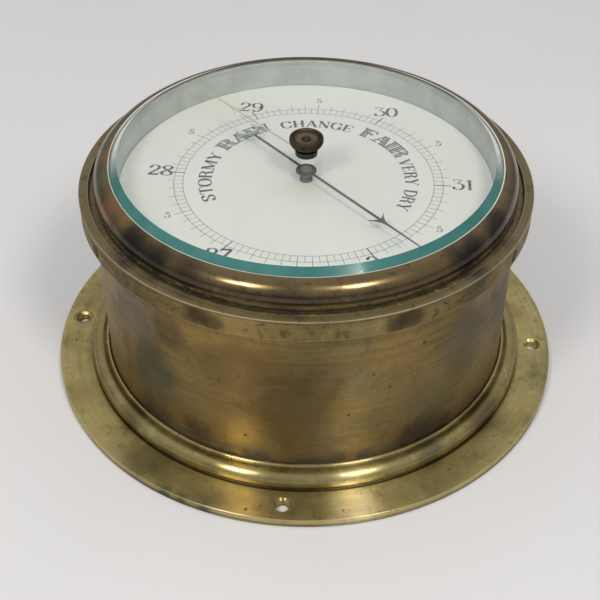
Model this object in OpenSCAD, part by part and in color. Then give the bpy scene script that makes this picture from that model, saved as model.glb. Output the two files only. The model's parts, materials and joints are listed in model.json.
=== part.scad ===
// Marine barometer: an aneroid in a deep brass drum with a bulkhead flange.
// Lengths are millimetres. The origin is the centre of the flange's back face,
// +Z points out through the dial and +Y points to twelve o'clock.

/* [Flange] */
// Width of the mounting flange outside the drum
flange_w = 21.3; // [19:0.1:34]
// Thickness of the flange plate
flange_t = 3.5; // [3.2:0.1:6]
// Distance from the drum out to the circle of the four fixing holes
fixing_out = 14.3; // [13.5:0.1:16]
// Radius of a fixing hole
fixing_hole_r = 2.5; // [1.5:0.1:3]
// Radius of a fixing hole's countersink at the face
fixing_sink_r = 3.4; // [3.2:0.1:4.5]
// Radius of the half-round moulding's section
roll_r = 3.85; // [3:0.05:4.2]
// Height of the moulding's centre above the back face
roll_z = 6.5; // [5:0.1:8]
// Radius of the thin bead's section between moulding and drum
bead_r = 0.95; // [0.5:0.05:1.2]
// Width of the lip that the back plate is screwed to
lip_w = 11.4; // [10:0.1:14]
// Width of the part of that lip that the back plate lies on
plate_seat_w = 8; // [7:0.1:9]
// Thickness of that lip
lip_t = 3; // [2:0.1:5]

/* [Case] */
// Outer radius of the drum
drum_r = 81; // [80:0.1:82]
// Wall of the drum
drum_wall = 1.6; // [1:0.1:1.9]
// Height of the joint between drum and bezel
joint_z = 81.7; // [80:0.1:84]
// Height of the collar round the top of the drum
collar_h = 7.3; // [6:0.1:12]
// Wall of the collar
collar_w = 4.6; // [4:0.1:7]
// Thickness of the back plate
back_plate_t = 2; // [1.5:0.1:2.3]
// Depth of the recess that the back plate lies in
back_recess = 2.4; // [2.4:0.1:2.8]
// Radius of the hole in the back plate for the screwdriver
access_hole_r = 4; // [3.5:0.1:6]

/* [Bezel] */
// Overhang of the bezel's ledge past the collar
ledge_over = 0.1; // [0:0.05:1]
// Thickness of the ledge
ledge_t = 1.1; // [0.8:0.1:2]
// Width of the ledge's flat top, outside the groove
ledge_w = 3.5; // [2:0.1:3.8]
// Radius of the big moulding's section
bezel_roll_r = 6.6; // [6:0.1:7]
// Distance from the drum's outside in to the centre of that section
bezel_roll_in = 7.6; // [7:0.1:7.8]
// Height of the big moulding's centre above the joint
bezel_roll_rise = 3.8; // [3.6:0.1:4.2]
// Distance from that centre out to the edge that frames the glass
lip_out = 0.2; // [-1:0.1:0.4]
// Width of the bezel's step outside the drum, which lies in the collar
step_w = 2.2; // [1.8:0.1:2.4]
// Height of that step below the joint
step_h = 2; // [1.5:0.1:2.2]
// Length of the spigot that fits inside the drum
spigot_len = 9.5; // [8:0.1:14]
// Wall of the spigot
spigot_wall = 2.7; // [1.5:0.1:3]
// Direction of the first of the three bezel screws
bezel_screw_angle = 94.3; // [0:0.1:119]
// Radius of a bezel screw's thread
bezel_screw_r = 1.5; // [1:0.1:1.8]
// Radius of a bezel screw's head
bezel_screw_head_r = 2.2; // [2.1:0.1:2.6]

/* [Glass] */
// Width of the shoulder that keeps the glass in the bezel
glass_seat_w = 1.4; // [1.2:0.1:2.2]
// Thickness of the glass
glass_t = 4.5; // [4:0.1:5]
// Height of the glass's back face above the joint
glass_rise = 7.8; // [7.6:0.1:8]
// Width of the glass's bevel
bevel_w = 4.4; // [3:0.1:8]
// Rise of the bevel for each millimetre towards the centre
bevel_slope = 0.778; // [0.6:0.01:0.8]
// Radius of the hole for the bush
glass_hole_r = 4.2; // [3:0.1:5]
// Height of the split ring that holds the glass
glass_ring_h = 1.2; // [0.8:0.1:2]

/* [Dial] */
// Height of the dial's face above the back face of the flange
dial_z = 78; // [76.5:0.1:79]
// Thickness of the dial
dial_t = 1; // [0.6:0.1:1.5]
// Gap between the dial's edge and the bezel
dial_gap = 0.7; // [0.5:0.1:1.5]
// Distance from the glass's edge in to the silvered sleeve above the dial
sleeve_in = 3.65; // [3.2:0.05:7]
// Wall of the silvered sleeve
sleeve_wall = 1.2; // [0.8:0.1:1.4]
// Radius of the bush in the middle of the dial
dial_bush_r = 2.55; // [2.2:0.05:4]
// Height of that bush above the dial
dial_bush_h = 1.3; // [0.5:0.1:1.4]

/* [Pointer] */
// Gap between the pointer's tip and the sleeve
pointer_gap = 7.35; // [3:0.05:12]
// Distance from the axis to the pointer's barb tips
barb_at = 39; // [30:0.5:44]
// Half the distance between the barb tips
barb_half_w = 3.5; // [2:0.1:5]
// Distance from the axis to the centre of the crescent
crescent_at = 36.2; // [28:0.2:46]
// Outer radius of the crescent
crescent_r = 4.6; // [3:0.1:6]
// Half the width of the pointer's rod
rod_half_w = 0.45; // [0.3:0.05:0.8]
// Thickness of the pointer
pointer_t = 0.35; // [0.25:0.05:0.6]
// Height of the pointer's back above the dial
pointer_rise = 4.15; // [3.9:0.05:5]
// Radius of the pointer's hub
hub_r = 4; // [3.2:0.1:5]
// Direction of the pointer at rest, counted from three o'clock
pointer_angle = -45.3; // [-60:0.1:60]

/* [Set hand] */
// Gap between the set hand's tip and the sleeve
set_hand_gap = 9.35; // [3:0.05:20]
// Direction of the set hand at rest, counted from three o'clock
set_hand_angle = 135.8; // [0:0.1:360]
// Thickness of the set hand
set_hand_t = 0.3; // [0.2:0.05:0.5]
// Radius of the knob's rim
knob_r = 6.4; // [5:0.1:9]
// Height of the knob above the glass
knob_h = 5.5; // [4.5:0.1:9]
// Height of the knurled rim
knurl_h = 2.2; // [1.5:0.1:3]
// Number of notches in the knurled rim
knurl_count = 48; // [24:1:60]
// Radius of the spindle through the glass
spindle_r = 1.5; // [1.2:0.1:2]

/* [Movement] */
// Distance from the circle of the dial's pillars out to the edge of the base plate
base_rim_w = 14; // [12:0.5:18]
// Thickness of the base plate
base_t = 2.5; // [2:0.1:4]
// Height of the base plate's front face above the flange's back face
base_z = 32.5; // [31:0.5:36]
// Radius of the vacuum capsule
capsule_r = 27; // [22:0.5:28]
// Height of the vacuum capsule
capsule_h = 8; // [6:0.5:9]
// Wall of each diaphragm
diaphragm_t = 0.4; // [0.3:0.05:0.6]
// Number of corrugations in a diaphragm
corrugations = 5; // [3:1:7]
// Thickness of the main spring's leaf
spring_t = 1.2; // [0.8:0.1:1.6]
// Width of the main spring's leaf
spring_w = 26; // [23:1:29]
// Inner radius of the main spring's bend
spring_bend_r = 7.4; // [7:0.1:8]
// Distance from the arbor to the main spring's bend
spring_bend_x = 40; // [38:0.5:41]
// Distance from the arbor to the main lever's end pin
lever_end_x = 44.5; // [42:0.5:46]
// Width of the main lever
lever_w = 6; // [4.5:0.1:8]
// Thickness of the main lever
lever_t = 2; // [1.6:0.1:3]
// Length of the rocking shaft's short arm
short_arm = 3; // [2.6:0.1:3.6]
// Depth of the rocking shaft below the main lever's end pin
shaft_drop = 10; // [8:0.5:11]
// Length of the rocking shaft between its shoulders
shaft_len = 26; // [20:0.5:27]
// Radius of the rocking shaft
shaft_r = 1.2; // [1:0.1:1.6]
// Radius of the pivots and link pins
pivot_r = 0.5; // [0.4:0.05:0.7]
// Radius of the chain drum on the pointer arbor
chain_drum_r = 1.5; // [1.2:0.1:1.8]
// Height of the chain above the back face of the flange
chain_z = 64; // [63:0.5:65]
// Length of one link of the chain
chain_pitch = 2; // [1.6:0.1:3]
// Radius of the pointer arbor
arbor_r = 1; // [0.8:0.05:1.1]
// Outer radius of the hairspring
hairspring_r = 9; // [6:0.2:11]
// Number of turns in the hairspring
hairspring_turns = 4; // [3:1:5]

/* [Clearances] */
// Radial clearance of a shaft that turns in its hole
running = 0.05; // [0.02:0.01:0.09]
// Radial clearance of a piece that drops into its seat
seating = 0.2; // [0.1:0.05:0.3]
// Gap between the foot of a dial pillar and the spring's carriage
pillar_gap = 1; // [0.5:0.1:3]
// Gap between the capsule and the pillars of the lower bridge
bridge_gap = 3; // [2:0.1:4]
// Play of the link in its lower pin, where the linkage is left free
link_play = 0.16; // [0.12:0.01:0.2]

/* [Hidden] */
$fn = 96;
eps = 0.01;

brass = [0.58, 0.47, 0.24];
dark_brass = [0.42, 0.34, 0.19];
bright_brass = [0.78, 0.66, 0.36];
steel = [0.42, 0.44, 0.46];
blued = [0.25, 0.28, 0.31];
silvered = [0.72, 0.74, 0.73];
enamel = [0.87, 0.87, 0.83];
knob_brown = [0.22, 0.16, 0.11];
glass_green = [0.7, 0.85, 0.82, 0.4];

edge_break = 0.3;
drum_bore_r = drum_r - drum_wall;
drum_top_z = joint_z - step_h;
collar_r = drum_r + collar_w;
flange_r = drum_r + flange_w;
fixing_circle_r = drum_r + fixing_out;
lip_bore_r = drum_bore_r - lip_w;
recess_r = lip_bore_r + plate_seat_w;
back_plate_r = recess_r - seating;
roll_path_r = drum_r + 0.1 + roll_r;
bead_path_r = drum_r + 0.05 + bead_r;
bead_z = roll_z + 3.1;
foot_groove_r = roll_path_r + roll_r + 0.1;
foot_groove_depth = 0.5;

ledge_r = collar_r + ledge_over;
ledge_inner_r = ledge_r - ledge_w;
step_r = drum_r + step_w;
bezel_top_z = joint_z + ledge_t;
bezel_roll_path_r = drum_r - bezel_roll_in;
lip_r = bezel_roll_path_r + lip_out;
bezel_roll_z = joint_z + bezel_roll_rise;
groove_floor_z = joint_z - 0.6;
spigot_r = drum_bore_r - 0.1;
spigot_bore_r = spigot_r - spigot_wall;
spigot_z = joint_z - spigot_len;
bezel_screw_z = joint_z - collar_h / 2 - 0.25;
bezel_screw_turns = [for (k = [0:2]) bezel_screw_angle + 120 * k];
bezel_screw_sink = 1.7;

seat_r = spigot_bore_r - glass_seat_w;
glass_r = seat_r - seating;
bevel_inner_r = glass_r - bevel_w;
glass_z = joint_z + glass_rise;
glass_top_z = glass_z + glass_t;
glass_rim_z = glass_top_z - (glass_r - bevel_inner_r) * bevel_slope;
seat_gap = 0.12;
glass_ring_r = spigot_bore_r + 0.4;
glass_ring_groove = 0.1;
glass_ring_slit = 4;
sleeve_r = glass_r - sleeve_in;
sleeve_outer_r = sleeve_r + sleeve_wall;
dial_r = spigot_bore_r - dial_gap;
sleeve_h = glass_z - dial_z - 0.1;

back_screw_circle_r = (lip_bore_r + recess_r) / 2;
back_screw_turns = [45, 135, 225, 315];
back_plate_z = back_recess - back_plate_t;
m3_r = 1.5;
m3_head_r = 3;
m3_head_h = 2;
countersink_h = 1.5;
slot_w = 0.7;
slot_d = 0.8;

carriage_side = 5;
carriage_w = spring_w + 2 * carriage_side;
base_back_z = base_z - base_t;
dial_pillar_r = 3;
dial_pillar_foot_r = dial_pillar_r + 1;
dial_pillar_foot_h = 1.5;
dial_pillar_circle_r = carriage_w + 2 * (dial_pillar_foot_r + pillar_gap);
dial_pillar_turns = [90, 210, 330];
base_r = dial_pillar_circle_r + base_rim_w;
pillar_out = 4;
pillar_circle_r = dial_pillar_circle_r + pillar_out;
pillar_turns = [30, 150, 270];
pillar_r = 5;
dial_back_z = dial_z - dial_t;
screw_depth = 6;
small_screw_depth = 5;

capsule_gap = 1;
capsule_z = base_z + capsule_gap;
capsule_top_z = capsule_z + capsule_h;
rim_w = 2.5;
centre_r = 5;
wave_h = 0.7;
stud_r = 3;
nut_h = 2.5;
nut_r = 5.5;

carriage_t = 1.4;
spring_foot_z = base_z + carriage_t;
spring_axis_z = spring_foot_z + spring_t + spring_bend_r;
spring_top_z = spring_axis_z + spring_bend_r;
spring_end_x = 14;
spring_slot_r = 2.6;
post_r = 2.2;
knife_r = 0.8;
knife_len = 12;
carriage_x0 = -spring_bend_x - 7;
carriage_x1 = -capsule_r - 2.5;
clamp_w = 6.5;
clamp_t = 2;
clamp_screw_x = carriage_x1 - 0.5 - clamp_w / 2;
adjusting_x = -spring_bend_x - 4.5;
adjusting_r = 2;
adjusting_head_r = 3.2;
adjusting_head_z = back_recess + 2.6;
adjusting_neck_z = base_back_z - 4;

lever_z = spring_top_z + spring_t;
lever_x0 = 5;
lever_pin_z = lever_z + lever_t / 2;
lever_nose = 2;
fork_gap = 1.4;
fork_w = 3.4;
strip_t = 0.8;
strip_x0 = 16;
strip_x1 = lever_end_x - 8;
lever_screw_xs = [7.5, 11.5];
lever_screw_r = 1;
lever_screw_head_r = 1.8;
lever_screw_head_h = 1.2;

shaft_x = lever_end_x - short_arm;
shaft_z = lever_pin_z - shaft_drop;
pivot_len = 1.8;
bracket_gap = 0.3;
bracket_t = 3;
bracket_w = 6;
bracket_foot_t = 1.6;
bracket_h = shaft_z + 3 - base_z;
bracket_y = shaft_len / 2 + bracket_gap;
arm_y = 5.5;
arm_t = 1;
arm_pin_r = 0.4;

chain_link_w = 0.9;
chain_link_t = 0.3;
chain_y = chain_drum_r + chain_link_t / 2;
chain_len = shaft_x - arm_pin_r - chain_link_w / 2;
chain_stagger = 0.08;

bridge_t = 2;
bridge_end = 0.5;
lower_pillar_r = 3;
lower_pillar_y = capsule_r + lower_pillar_r + bridge_gap;
lower_bridge_drop = 7;
lower_bridge_z = chain_z - lower_bridge_drop;
lower_bridge_half = lower_pillar_y + lower_pillar_r + bridge_end;
upper_bridge_rise = 6;
upper_bridge_z = chain_z + upper_bridge_rise;
upper_pillar_r = 2.5;
upper_pillar_y = 20;
upper_bridge_half = upper_pillar_y + upper_pillar_r + 3 * bridge_end;
bridge_w = 12;
hairspring_z = lower_bridge_z + bridge_t + 1.4;
hairspring_h = 0.8;
hairspring_t = 0.25;
hairspring_hub_r = 2;
hairspring_pitch = (hairspring_r - hairspring_hub_r) / hairspring_turns;
stud_post_r = 1.2;

pointer_len = sleeve_r - pointer_gap;
set_hand_len = sleeve_r - set_hand_gap;
pointer_z = dial_z + pointer_rise;
collet_z = dial_z + dial_bush_h + 0.15;
collet_boss_r = 2.2;
collet_boss_h = 0.4;
arbor_top_z = pointer_z + pointer_t + 0.6;
arbor_bottom_z = lower_bridge_z - 0.6;

set_hand_z = glass_z - 0.3 - set_hand_t;
set_hub_r = 2.2;
bush_r = glass_hole_r - running;
bush_flange_r = glass_hole_r + 0.2;
bush_flange_h = 0.3;
knob_gap = 0.15;
knob_z = glass_top_z + bush_flange_h + knob_gap;
knob_top_z = glass_top_z + knob_h;
knob_neck_r = 3.8;
knob_dish_r = knob_r - 0.9;
knob_dish_d = 1.2;
knob_boss_r = 1.1;
knob_floor_z = knob_top_z - knob_dish_d;
knurl_depth = 0.25;
spindle_top_z = knob_floor_z - 0.5;
hand_seat_r = 1;
hand_screw_r = 0.5;
hand_screw_len = 2.5;

// Points of a curve from a to c that leans towards b
function curve(a, b, c, steps = 8) =
    [for (k = [0:steps]) let (u = k / steps) (1 - u) * (1 - u) * a + 2 * u * (1 - u) * b + u * u * c];

// Points of an arc of radius r about c, from one angle to another
function arc(c, r, from, to, steps = 20) =
    [for (k = [0:steps]) let (a = from + (to - from) * k / steps) c + r * [cos(a), sin(a)]];

// Height of the bevelled face at radius r
function bevel_z(r) = glass_top_z - (r - bevel_inner_r) * bevel_slope;

// Height of a diaphragm's wave at radius r, level at its rim and its centre
function wave(r) =
    let (u = (r - centre_r) / (capsule_r - rim_w - centre_r)) wave_h * sin(u * corrugations * 360);

// A ring of rectangular section
module ring(r_in, r_out, z, h) {
    translate([0, 0, z]) difference() {
        cylinder(r = r_out, h = h);
        translate([0, 0, -1]) cylinder(r = r_in, h = h + 2);
    }
}

// Copies of the children on a circle round the axis, one for each direction
module around(turns, r) {
    for (a = turns) rotate([0, 0, a]) translate([r, 0, 0]) children();
}

// A screw with a cheese head: the thread runs down from z = 0 and the head stands above
module cheese_screw(r, len, head_r, head_h) {
    difference() {
        union() {
            translate([0, 0, -len]) cylinder(r = r, h = len + eps);
            cylinder(r = head_r, h = head_h);
        }
        translate([-head_r - 1, -slot_w / 2, head_h - slot_d]) cube([2 * head_r + 2, slot_w, slot_d + 1]);
    }
}

// One flat link of the chain, lying along +X
module chain_link(pitch) {
    for (x = [0, pitch]) translate([x, 0, 0]) cylinder(r = chain_link_w / 2, h = chain_link_t / 2);
    translate([0, -chain_link_w / 3, 0]) cube([pitch, chain_link_w / 1.5, chain_link_t / 2]);
}

// A countersunk screw: its head is flush at z = 0 and the thread runs down
module sunk_screw(r, len, head_r) {
    difference() {
        union() {
            translate([0, 0, -len]) cylinder(r = r, h = len - countersink_h / 2);
            translate([0, 0, -countersink_h]) cylinder(r1 = r, r2 = head_r, h = countersink_h);
        }
        translate([-head_r - 1, -slot_w / 2, -slot_d]) cube([2 * head_r + 2, slot_w, slot_d + 1]);
    }
}

// The cut that a countersunk screw needs, open at z = 0
module sunk_hole(r, len, head_r) {
    translate([0, 0, -len]) cylinder(r = r, h = len + 1);
    translate([0, 0, -countersink_h]) cylinder(r1 = r, r2 = head_r, h = countersink_h);
    cylinder(r = head_r, h = 1);
}

// Angle at the first of two circles between the line of centres and the point where they cross
function crossing(r1, r2, apart) = acos((r1 * r1 + apart * apart - r2 * r2) / (2 * r1 * apart));

module mounting_flange() {
    hole_land = flange_t - (fixing_sink_r - fixing_hole_r);
    groove_z = flange_t - foot_groove_depth;
    across = roll_path_r - bead_path_r;
    rise = bead_z - roll_z;
    apart = norm([across, rise]);
    lean = atan2(rise, -across);
    color(brass) difference() {
        rotate_extrude() polygon(concat(
            [[recess_r, 0], [flange_r - edge_break, 0], [flange_r, edge_break],
                [flange_r, flange_t - edge_break], [flange_r - edge_break, flange_t],
                [foot_groove_r + edge_break, flange_t], [foot_groove_r, groove_z]],
            arc([roll_path_r, roll_z], roll_r, asin((groove_z - roll_z) / roll_r),
                lean - crossing(roll_r, bead_r, apart)),
            arc([bead_path_r, bead_z], bead_r, lean - 180 + crossing(bead_r, roll_r, apart), 150, 10),
            [[drum_r, bead_z + bead_r / 2], [drum_r, back_recess], [drum_bore_r, back_recess],
                [drum_bore_r, back_recess + lip_t], [lip_bore_r, back_recess + lip_t],
                [lip_bore_r, back_recess], [recess_r, back_recess]]
        ));
        around([0, 90, 180, 270], fixing_circle_r) {
            translate([0, 0, -1]) cylinder(r = fixing_hole_r, h = flange_t + 2);
            translate([0, 0, hole_land])
                cylinder(r1 = fixing_hole_r, r2 = fixing_sink_r + eps, h = flange_t - hole_land + eps);
        }
        around(back_screw_turns, back_screw_circle_r)
            translate([0, 0, back_recess - 1]) cylinder(r = m3_r, h = lip_t + 2);
    }
}

module case_drum() {
    color(brass) difference() {
        ring(drum_bore_r, drum_r, back_recess, drum_top_z - back_recess);
        for (a = bezel_screw_turns) rotate([0, 0, a])
            translate([drum_bore_r - 1, 0, bezel_screw_z]) rotate([0, 90, 0])
                cylinder(r = bezel_screw_r + seating / 2, h = drum_wall + 2);
    }
}

module case_collar() {
    color(brass) difference() {
        ring(drum_r, collar_r, joint_z - collar_h, collar_h);
        translate([0, 0, drum_top_z]) cylinder(r = step_r, h = step_h + 1);
        for (a = bezel_screw_turns) rotate([0, 0, a]) translate([0, 0, bezel_screw_z]) rotate([0, 90, 0]) {
            translate([0, 0, drum_r - 1])
                cylinder(r = bezel_screw_r + seating / 2, h = collar_r - drum_r + 2);
            translate([0, 0, collar_r - bezel_screw_sink])
                cylinder(r = bezel_screw_head_r + seating, h = bezel_screw_sink + 1);
        }
    }
}

module back_plate() {
    color(brass) difference() {
        translate([0, 0, back_plate_z]) cylinder(r = back_plate_r, h = back_plate_t);
        around(back_screw_turns, back_screw_circle_r)
            translate([0, 0, back_plate_z]) mirror([0, 0, 1]) sunk_hole(m3_r, back_plate_t + 1, m3_head_r);
        around(pillar_turns, pillar_circle_r)
            translate([0, 0, back_plate_z]) mirror([0, 0, 1]) sunk_hole(m3_r, back_plate_t + 1, m3_head_r);
        translate([adjusting_x, 0, back_plate_z - 1]) cylinder(r = access_hole_r, h = back_plate_t + 2);
    }
}

module back_plate_screws() {
    color(dark_brass) around(back_screw_turns, back_screw_circle_r)
        translate([0, 0, back_plate_z]) mirror([0, 0, 1])
            sunk_screw(m3_r, back_plate_t + lip_t, m3_head_r);
}

module bezel_ring() {
    roll_start = asin((groove_floor_z - bezel_roll_z) / bezel_roll_r);
    roll_end = acos((lip_r - bezel_roll_path_r) / bezel_roll_r);
    color(dark_brass) difference() {
        rotate_extrude() polygon(concat(
            [[spigot_bore_r, spigot_z], [spigot_r, spigot_z], [spigot_r, drum_top_z],
                [step_r - seating, drum_top_z], [step_r - seating, joint_z], [ledge_r, joint_z],
                [ledge_r, bezel_top_z - edge_break], [ledge_r - edge_break, bezel_top_z],
                [ledge_inner_r, bezel_top_z], [ledge_inner_r - edge_break, groove_floor_z + edge_break],
                [ledge_inner_r - 2 * edge_break, groove_floor_z]],
            arc([bezel_roll_path_r, bezel_roll_z], bezel_roll_r, roll_start, roll_end),
            [[lip_r, bevel_z(lip_r) + seat_gap], [seat_r, bevel_z(seat_r) + seat_gap], [seat_r, glass_z],
                [glass_ring_r + glass_ring_groove, glass_z],
                [glass_ring_r + glass_ring_groove, glass_z - glass_ring_h - glass_ring_groove],
                [spigot_bore_r, glass_z - glass_ring_h - glass_ring_groove]]
        ));
        for (a = bezel_screw_turns) rotate([0, 0, a])
            translate([spigot_bore_r - 1, 0, bezel_screw_z]) rotate([0, 90, 0])
                cylinder(r = bezel_screw_r, h = spigot_wall + 2);
    }
}

module bezel_screws() {
    color(steel) for (a = bezel_screw_turns) rotate([0, 0, a])
        translate([collar_r - bezel_screw_sink, 0, bezel_screw_z]) rotate([0, 90, 0])
            cheese_screw(bezel_screw_r, collar_r - bezel_screw_sink - spigot_bore_r,
                bezel_screw_head_r, bezel_screw_sink - seating);
}

module glass_pane() {
    color(glass_green) rotate_extrude() polygon([
        [glass_hole_r, glass_z], [glass_r, glass_z], [glass_r, glass_rim_z],
        [bevel_inner_r, glass_top_z], [glass_hole_r, glass_top_z]
    ]);
}

module glass_split_ring() {
    color(bright_brass) difference() {
        ring(sleeve_outer_r + seating, glass_ring_r, glass_z - glass_ring_h, glass_ring_h);
        translate([sleeve_r, -glass_ring_slit / 2, glass_z - glass_ring_h - 1])
            cube([2 * (glass_ring_r - sleeve_r), glass_ring_slit, glass_ring_h + 2]);
    }
}

module glass_bush() {
    color(dark_brass) difference() {
        union() {
            translate([0, 0, glass_z]) cylinder(r = bush_r, h = glass_t);
            translate([0, 0, glass_top_z]) cylinder(r = bush_flange_r, h = bush_flange_h);
        }
        translate([0, 0, glass_z - 1]) cylinder(r = spindle_r + running, h = glass_t + 3);
    }
}

module dial_sleeve() {
    color(silvered) ring(sleeve_r, sleeve_outer_r, dial_z, sleeve_h);
}

module dial_plate() {
    color(enamel) ring(dial_bush_r - 0.55, dial_r, dial_back_z, dial_t);
}

module dial_bush() {
    color(steel) difference() {
        union() {
            translate([0, 0, dial_back_z]) cylinder(r = dial_bush_r - 0.55, h = dial_t);
            translate([0, 0, dial_z]) cylinder(r1 = dial_bush_r, r2 = dial_bush_r - 0.3, h = dial_bush_h);
        }
        translate([0, 0, dial_back_z - 1]) cylinder(r = arbor_r + 0.3, h = dial_t + dial_bush_h + 2);
    }
}

module dial_pillars() {
    color(bright_brass) around(dial_pillar_turns, dial_pillar_circle_r) difference() {
        union() {
            translate([0, 0, base_z]) cylinder(r = dial_pillar_r, h = dial_back_z - base_z);
            translate([0, 0, base_z]) cylinder(r = dial_pillar_foot_r, h = dial_pillar_foot_h);
            translate([0, 0, dial_back_z - dial_pillar_foot_h])
                cylinder(r = dial_pillar_foot_r, h = dial_pillar_foot_h);
        }
        translate([0, 0, base_z - 1]) cylinder(r = m3_r, h = screw_depth + 1);
    }
}

module dial_pillar_screws() {
    color(steel) around(dial_pillar_turns, dial_pillar_circle_r)
        translate([0, 0, base_back_z]) mirror([0, 0, 1])
            cheese_screw(m3_r, base_t + screw_depth - 1, m3_head_r, m3_head_h);
}

module movement_base() {
    color(bright_brass) difference() {
        translate([0, 0, base_back_z]) cylinder(r = base_r, h = base_t);
        around(dial_pillar_turns, dial_pillar_circle_r)
            translate([0, 0, base_back_z - 1]) cylinder(r = m3_r, h = base_t + 2);
        around(pillar_turns, pillar_circle_r)
            translate([0, 0, base_back_z - 1]) cylinder(r = m3_r, h = base_t + 2);
        translate([0, 0, base_back_z - 1]) cylinder(r = stud_r, h = base_t + 2);
        translate([adjusting_x, 0, base_back_z - 1]) cylinder(r = adjusting_r + running, h = base_t + 2);
    }
}

module base_pillars() {
    color(bright_brass) around(pillar_turns, pillar_circle_r) difference() {
        translate([0, 0, back_recess]) cylinder(r = pillar_r, h = base_back_z - back_recess);
        translate([0, 0, back_recess - 1]) cylinder(r = m3_r, h = screw_depth + 1);
        translate([0, 0, base_back_z - screw_depth]) cylinder(r = m3_r, h = screw_depth + 1);
    }
}

module base_pillar_screws_front() {
    color(steel) around(pillar_turns, pillar_circle_r)
        translate([0, 0, base_z]) cheese_screw(m3_r, base_t + screw_depth - 1, m3_head_r, m3_head_h);
}

module base_pillar_screws_back() {
    color(dark_brass) around(pillar_turns, pillar_circle_r)
        translate([0, 0, back_plate_z]) mirror([0, 0, 1])
            sunk_screw(m3_r, back_plate_t + screw_depth - 1, m3_head_r);
}

// One corrugated sheet below its rim at z = 0
module diaphragm() {
    steps = corrugations * 8;
    flat_r = capsule_r - rim_w;
    low = wave_h - capsule_h / 2;
    rs = [for (k = [0:steps]) centre_r + (flat_r - centre_r) * k / steps];
    rotate_extrude() polygon(concat(
        [[0, low]],
        [for (k = [0:steps]) [rs[k] + (k == steps ? diaphragm_t : 0), low + wave(rs[k])]],
        [[flat_r + 0.6 + diaphragm_t, -diaphragm_t], [capsule_r, -diaphragm_t], [capsule_r, 0],
            [flat_r + 0.6, 0]],
        [for (k = [steps:-1:0]) [rs[k], low + wave(rs[k]) + diaphragm_t]],
        [[0, low + diaphragm_t]]
    ));
}

module capsule_lower_diaphragm() {
    color(silvered) translate([0, 0, capsule_z + capsule_h / 2]) diaphragm();
}

module capsule_upper_diaphragm() {
    color(silvered) translate([0, 0, capsule_z + capsule_h / 2]) mirror([0, 0, 1]) diaphragm();
}

module capsule_stud() {
    color(bright_brass) union() {
        translate([0, 0, base_back_z - nut_h - 1]) cylinder(r = stud_r, h = base_t + nut_h + 1 + eps);
        translate([0, 0, base_z]) cylinder(r = centre_r - 0.5, h = capsule_gap + wave_h);
    }
}

module capsule_nut() {
    color(bright_brass) difference() {
        translate([0, 0, base_back_z - nut_h]) cylinder(r = nut_r, h = nut_h, $fn = 6);
        translate([0, 0, base_back_z - nut_h - 1]) cylinder(r = stud_r, h = nut_h + 2);
    }
}

module capsule_post() {
    post_z = capsule_top_z - wave_h;
    color(bright_brass) difference() {
        union() {
            translate([0, 0, post_z]) cylinder(r = centre_r - 0.8, h = 1.2);
            translate([0, 0, post_z]) cylinder(r = post_r, h = lever_z + 3 - post_z);
        }
        translate([0, 0, lever_z + knife_r]) rotate([90, 0, 0])
            cylinder(r = knife_r, h = 2 * post_r + 2, center = true);
    }
}

module knife_edge_pin() {
    color(steel) translate([0, 0, lever_z + knife_r]) rotate([90, 0, 0])
        cylinder(r = knife_r, h = knife_len, center = true);
}

module main_spring() {
    color(steel) difference() {
        translate([0, spring_w / 2, 0]) rotate([90, 0, 0]) linear_extrude(spring_w) union() {
            translate([-spring_bend_x, spring_foot_z]) square([spring_bend_x + carriage_x1, spring_t]);
            translate([-spring_bend_x, spring_top_z]) square([spring_bend_x + spring_end_x, spring_t]);
            translate([-spring_bend_x, spring_axis_z]) difference() {
                circle(r = spring_bend_r + spring_t);
                circle(r = spring_bend_r);
                translate([0, -spring_bend_r - 2 * spring_t]) square(2 * (spring_bend_r + 2 * spring_t));
            }
        }
        translate([0, 0, spring_top_z - 1]) cylinder(r = spring_slot_r, h = spring_t + 2);
        for (x = lever_screw_xs) translate([x, 0, spring_top_z - 1])
            cylinder(r = lever_screw_r, h = spring_t + 2);
        for (y = [-1, 1]) translate([clamp_screw_x, y * spring_w / 4, spring_foot_z - 1])
            cylinder(r = lever_screw_r + seating, h = spring_t + 2);
    }
}

module spring_carriage() {
    color(dark_brass) difference() {
        translate([carriage_x0, -carriage_w / 2, base_z])
            cube([carriage_x1 - carriage_x0, carriage_w, carriage_t]);
        for (y = [-1, 1]) translate([clamp_screw_x, y * spring_w / 4, base_z - 1])
            cylinder(r = lever_screw_r, h = carriage_t + 2);
    }
}

module spring_clamp_bar() {
    color(dark_brass) difference() {
        translate([clamp_screw_x - clamp_w / 2, -spring_w / 2, spring_foot_z + spring_t])
            cube([clamp_w, spring_w, clamp_t]);
        for (y = [-1, 1]) translate([clamp_screw_x, y * spring_w / 4, spring_foot_z + spring_t - 1])
            cylinder(r = lever_screw_r + seating, h = clamp_t + 2);
    }
}

module spring_clamp_screws() {
    color(steel) for (y = [-1, 1])
        translate([clamp_screw_x, y * spring_w / 4, spring_foot_z + spring_t + clamp_t])
            cheese_screw(lever_screw_r, clamp_t + spring_t + carriage_t,
                lever_screw_head_r, lever_screw_head_h);
}

module adjusting_screw() {
    color(bright_brass) difference() {
        translate([adjusting_x, 0, 0]) union() {
            translate([0, 0, adjusting_head_z])
                cylinder(r = adjusting_head_r, h = adjusting_neck_z - adjusting_head_z);
            translate([0, 0, adjusting_neck_z - eps])
                cylinder(r = adjusting_r, h = base_z - adjusting_neck_z - 0.05);
        }
        translate([adjusting_x - adjusting_head_r - 1, -slot_w / 2, adjusting_head_z - 1])
            cube([2 * adjusting_head_r + 2, slot_w, slot_d + 1.5]);
    }
}

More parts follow.
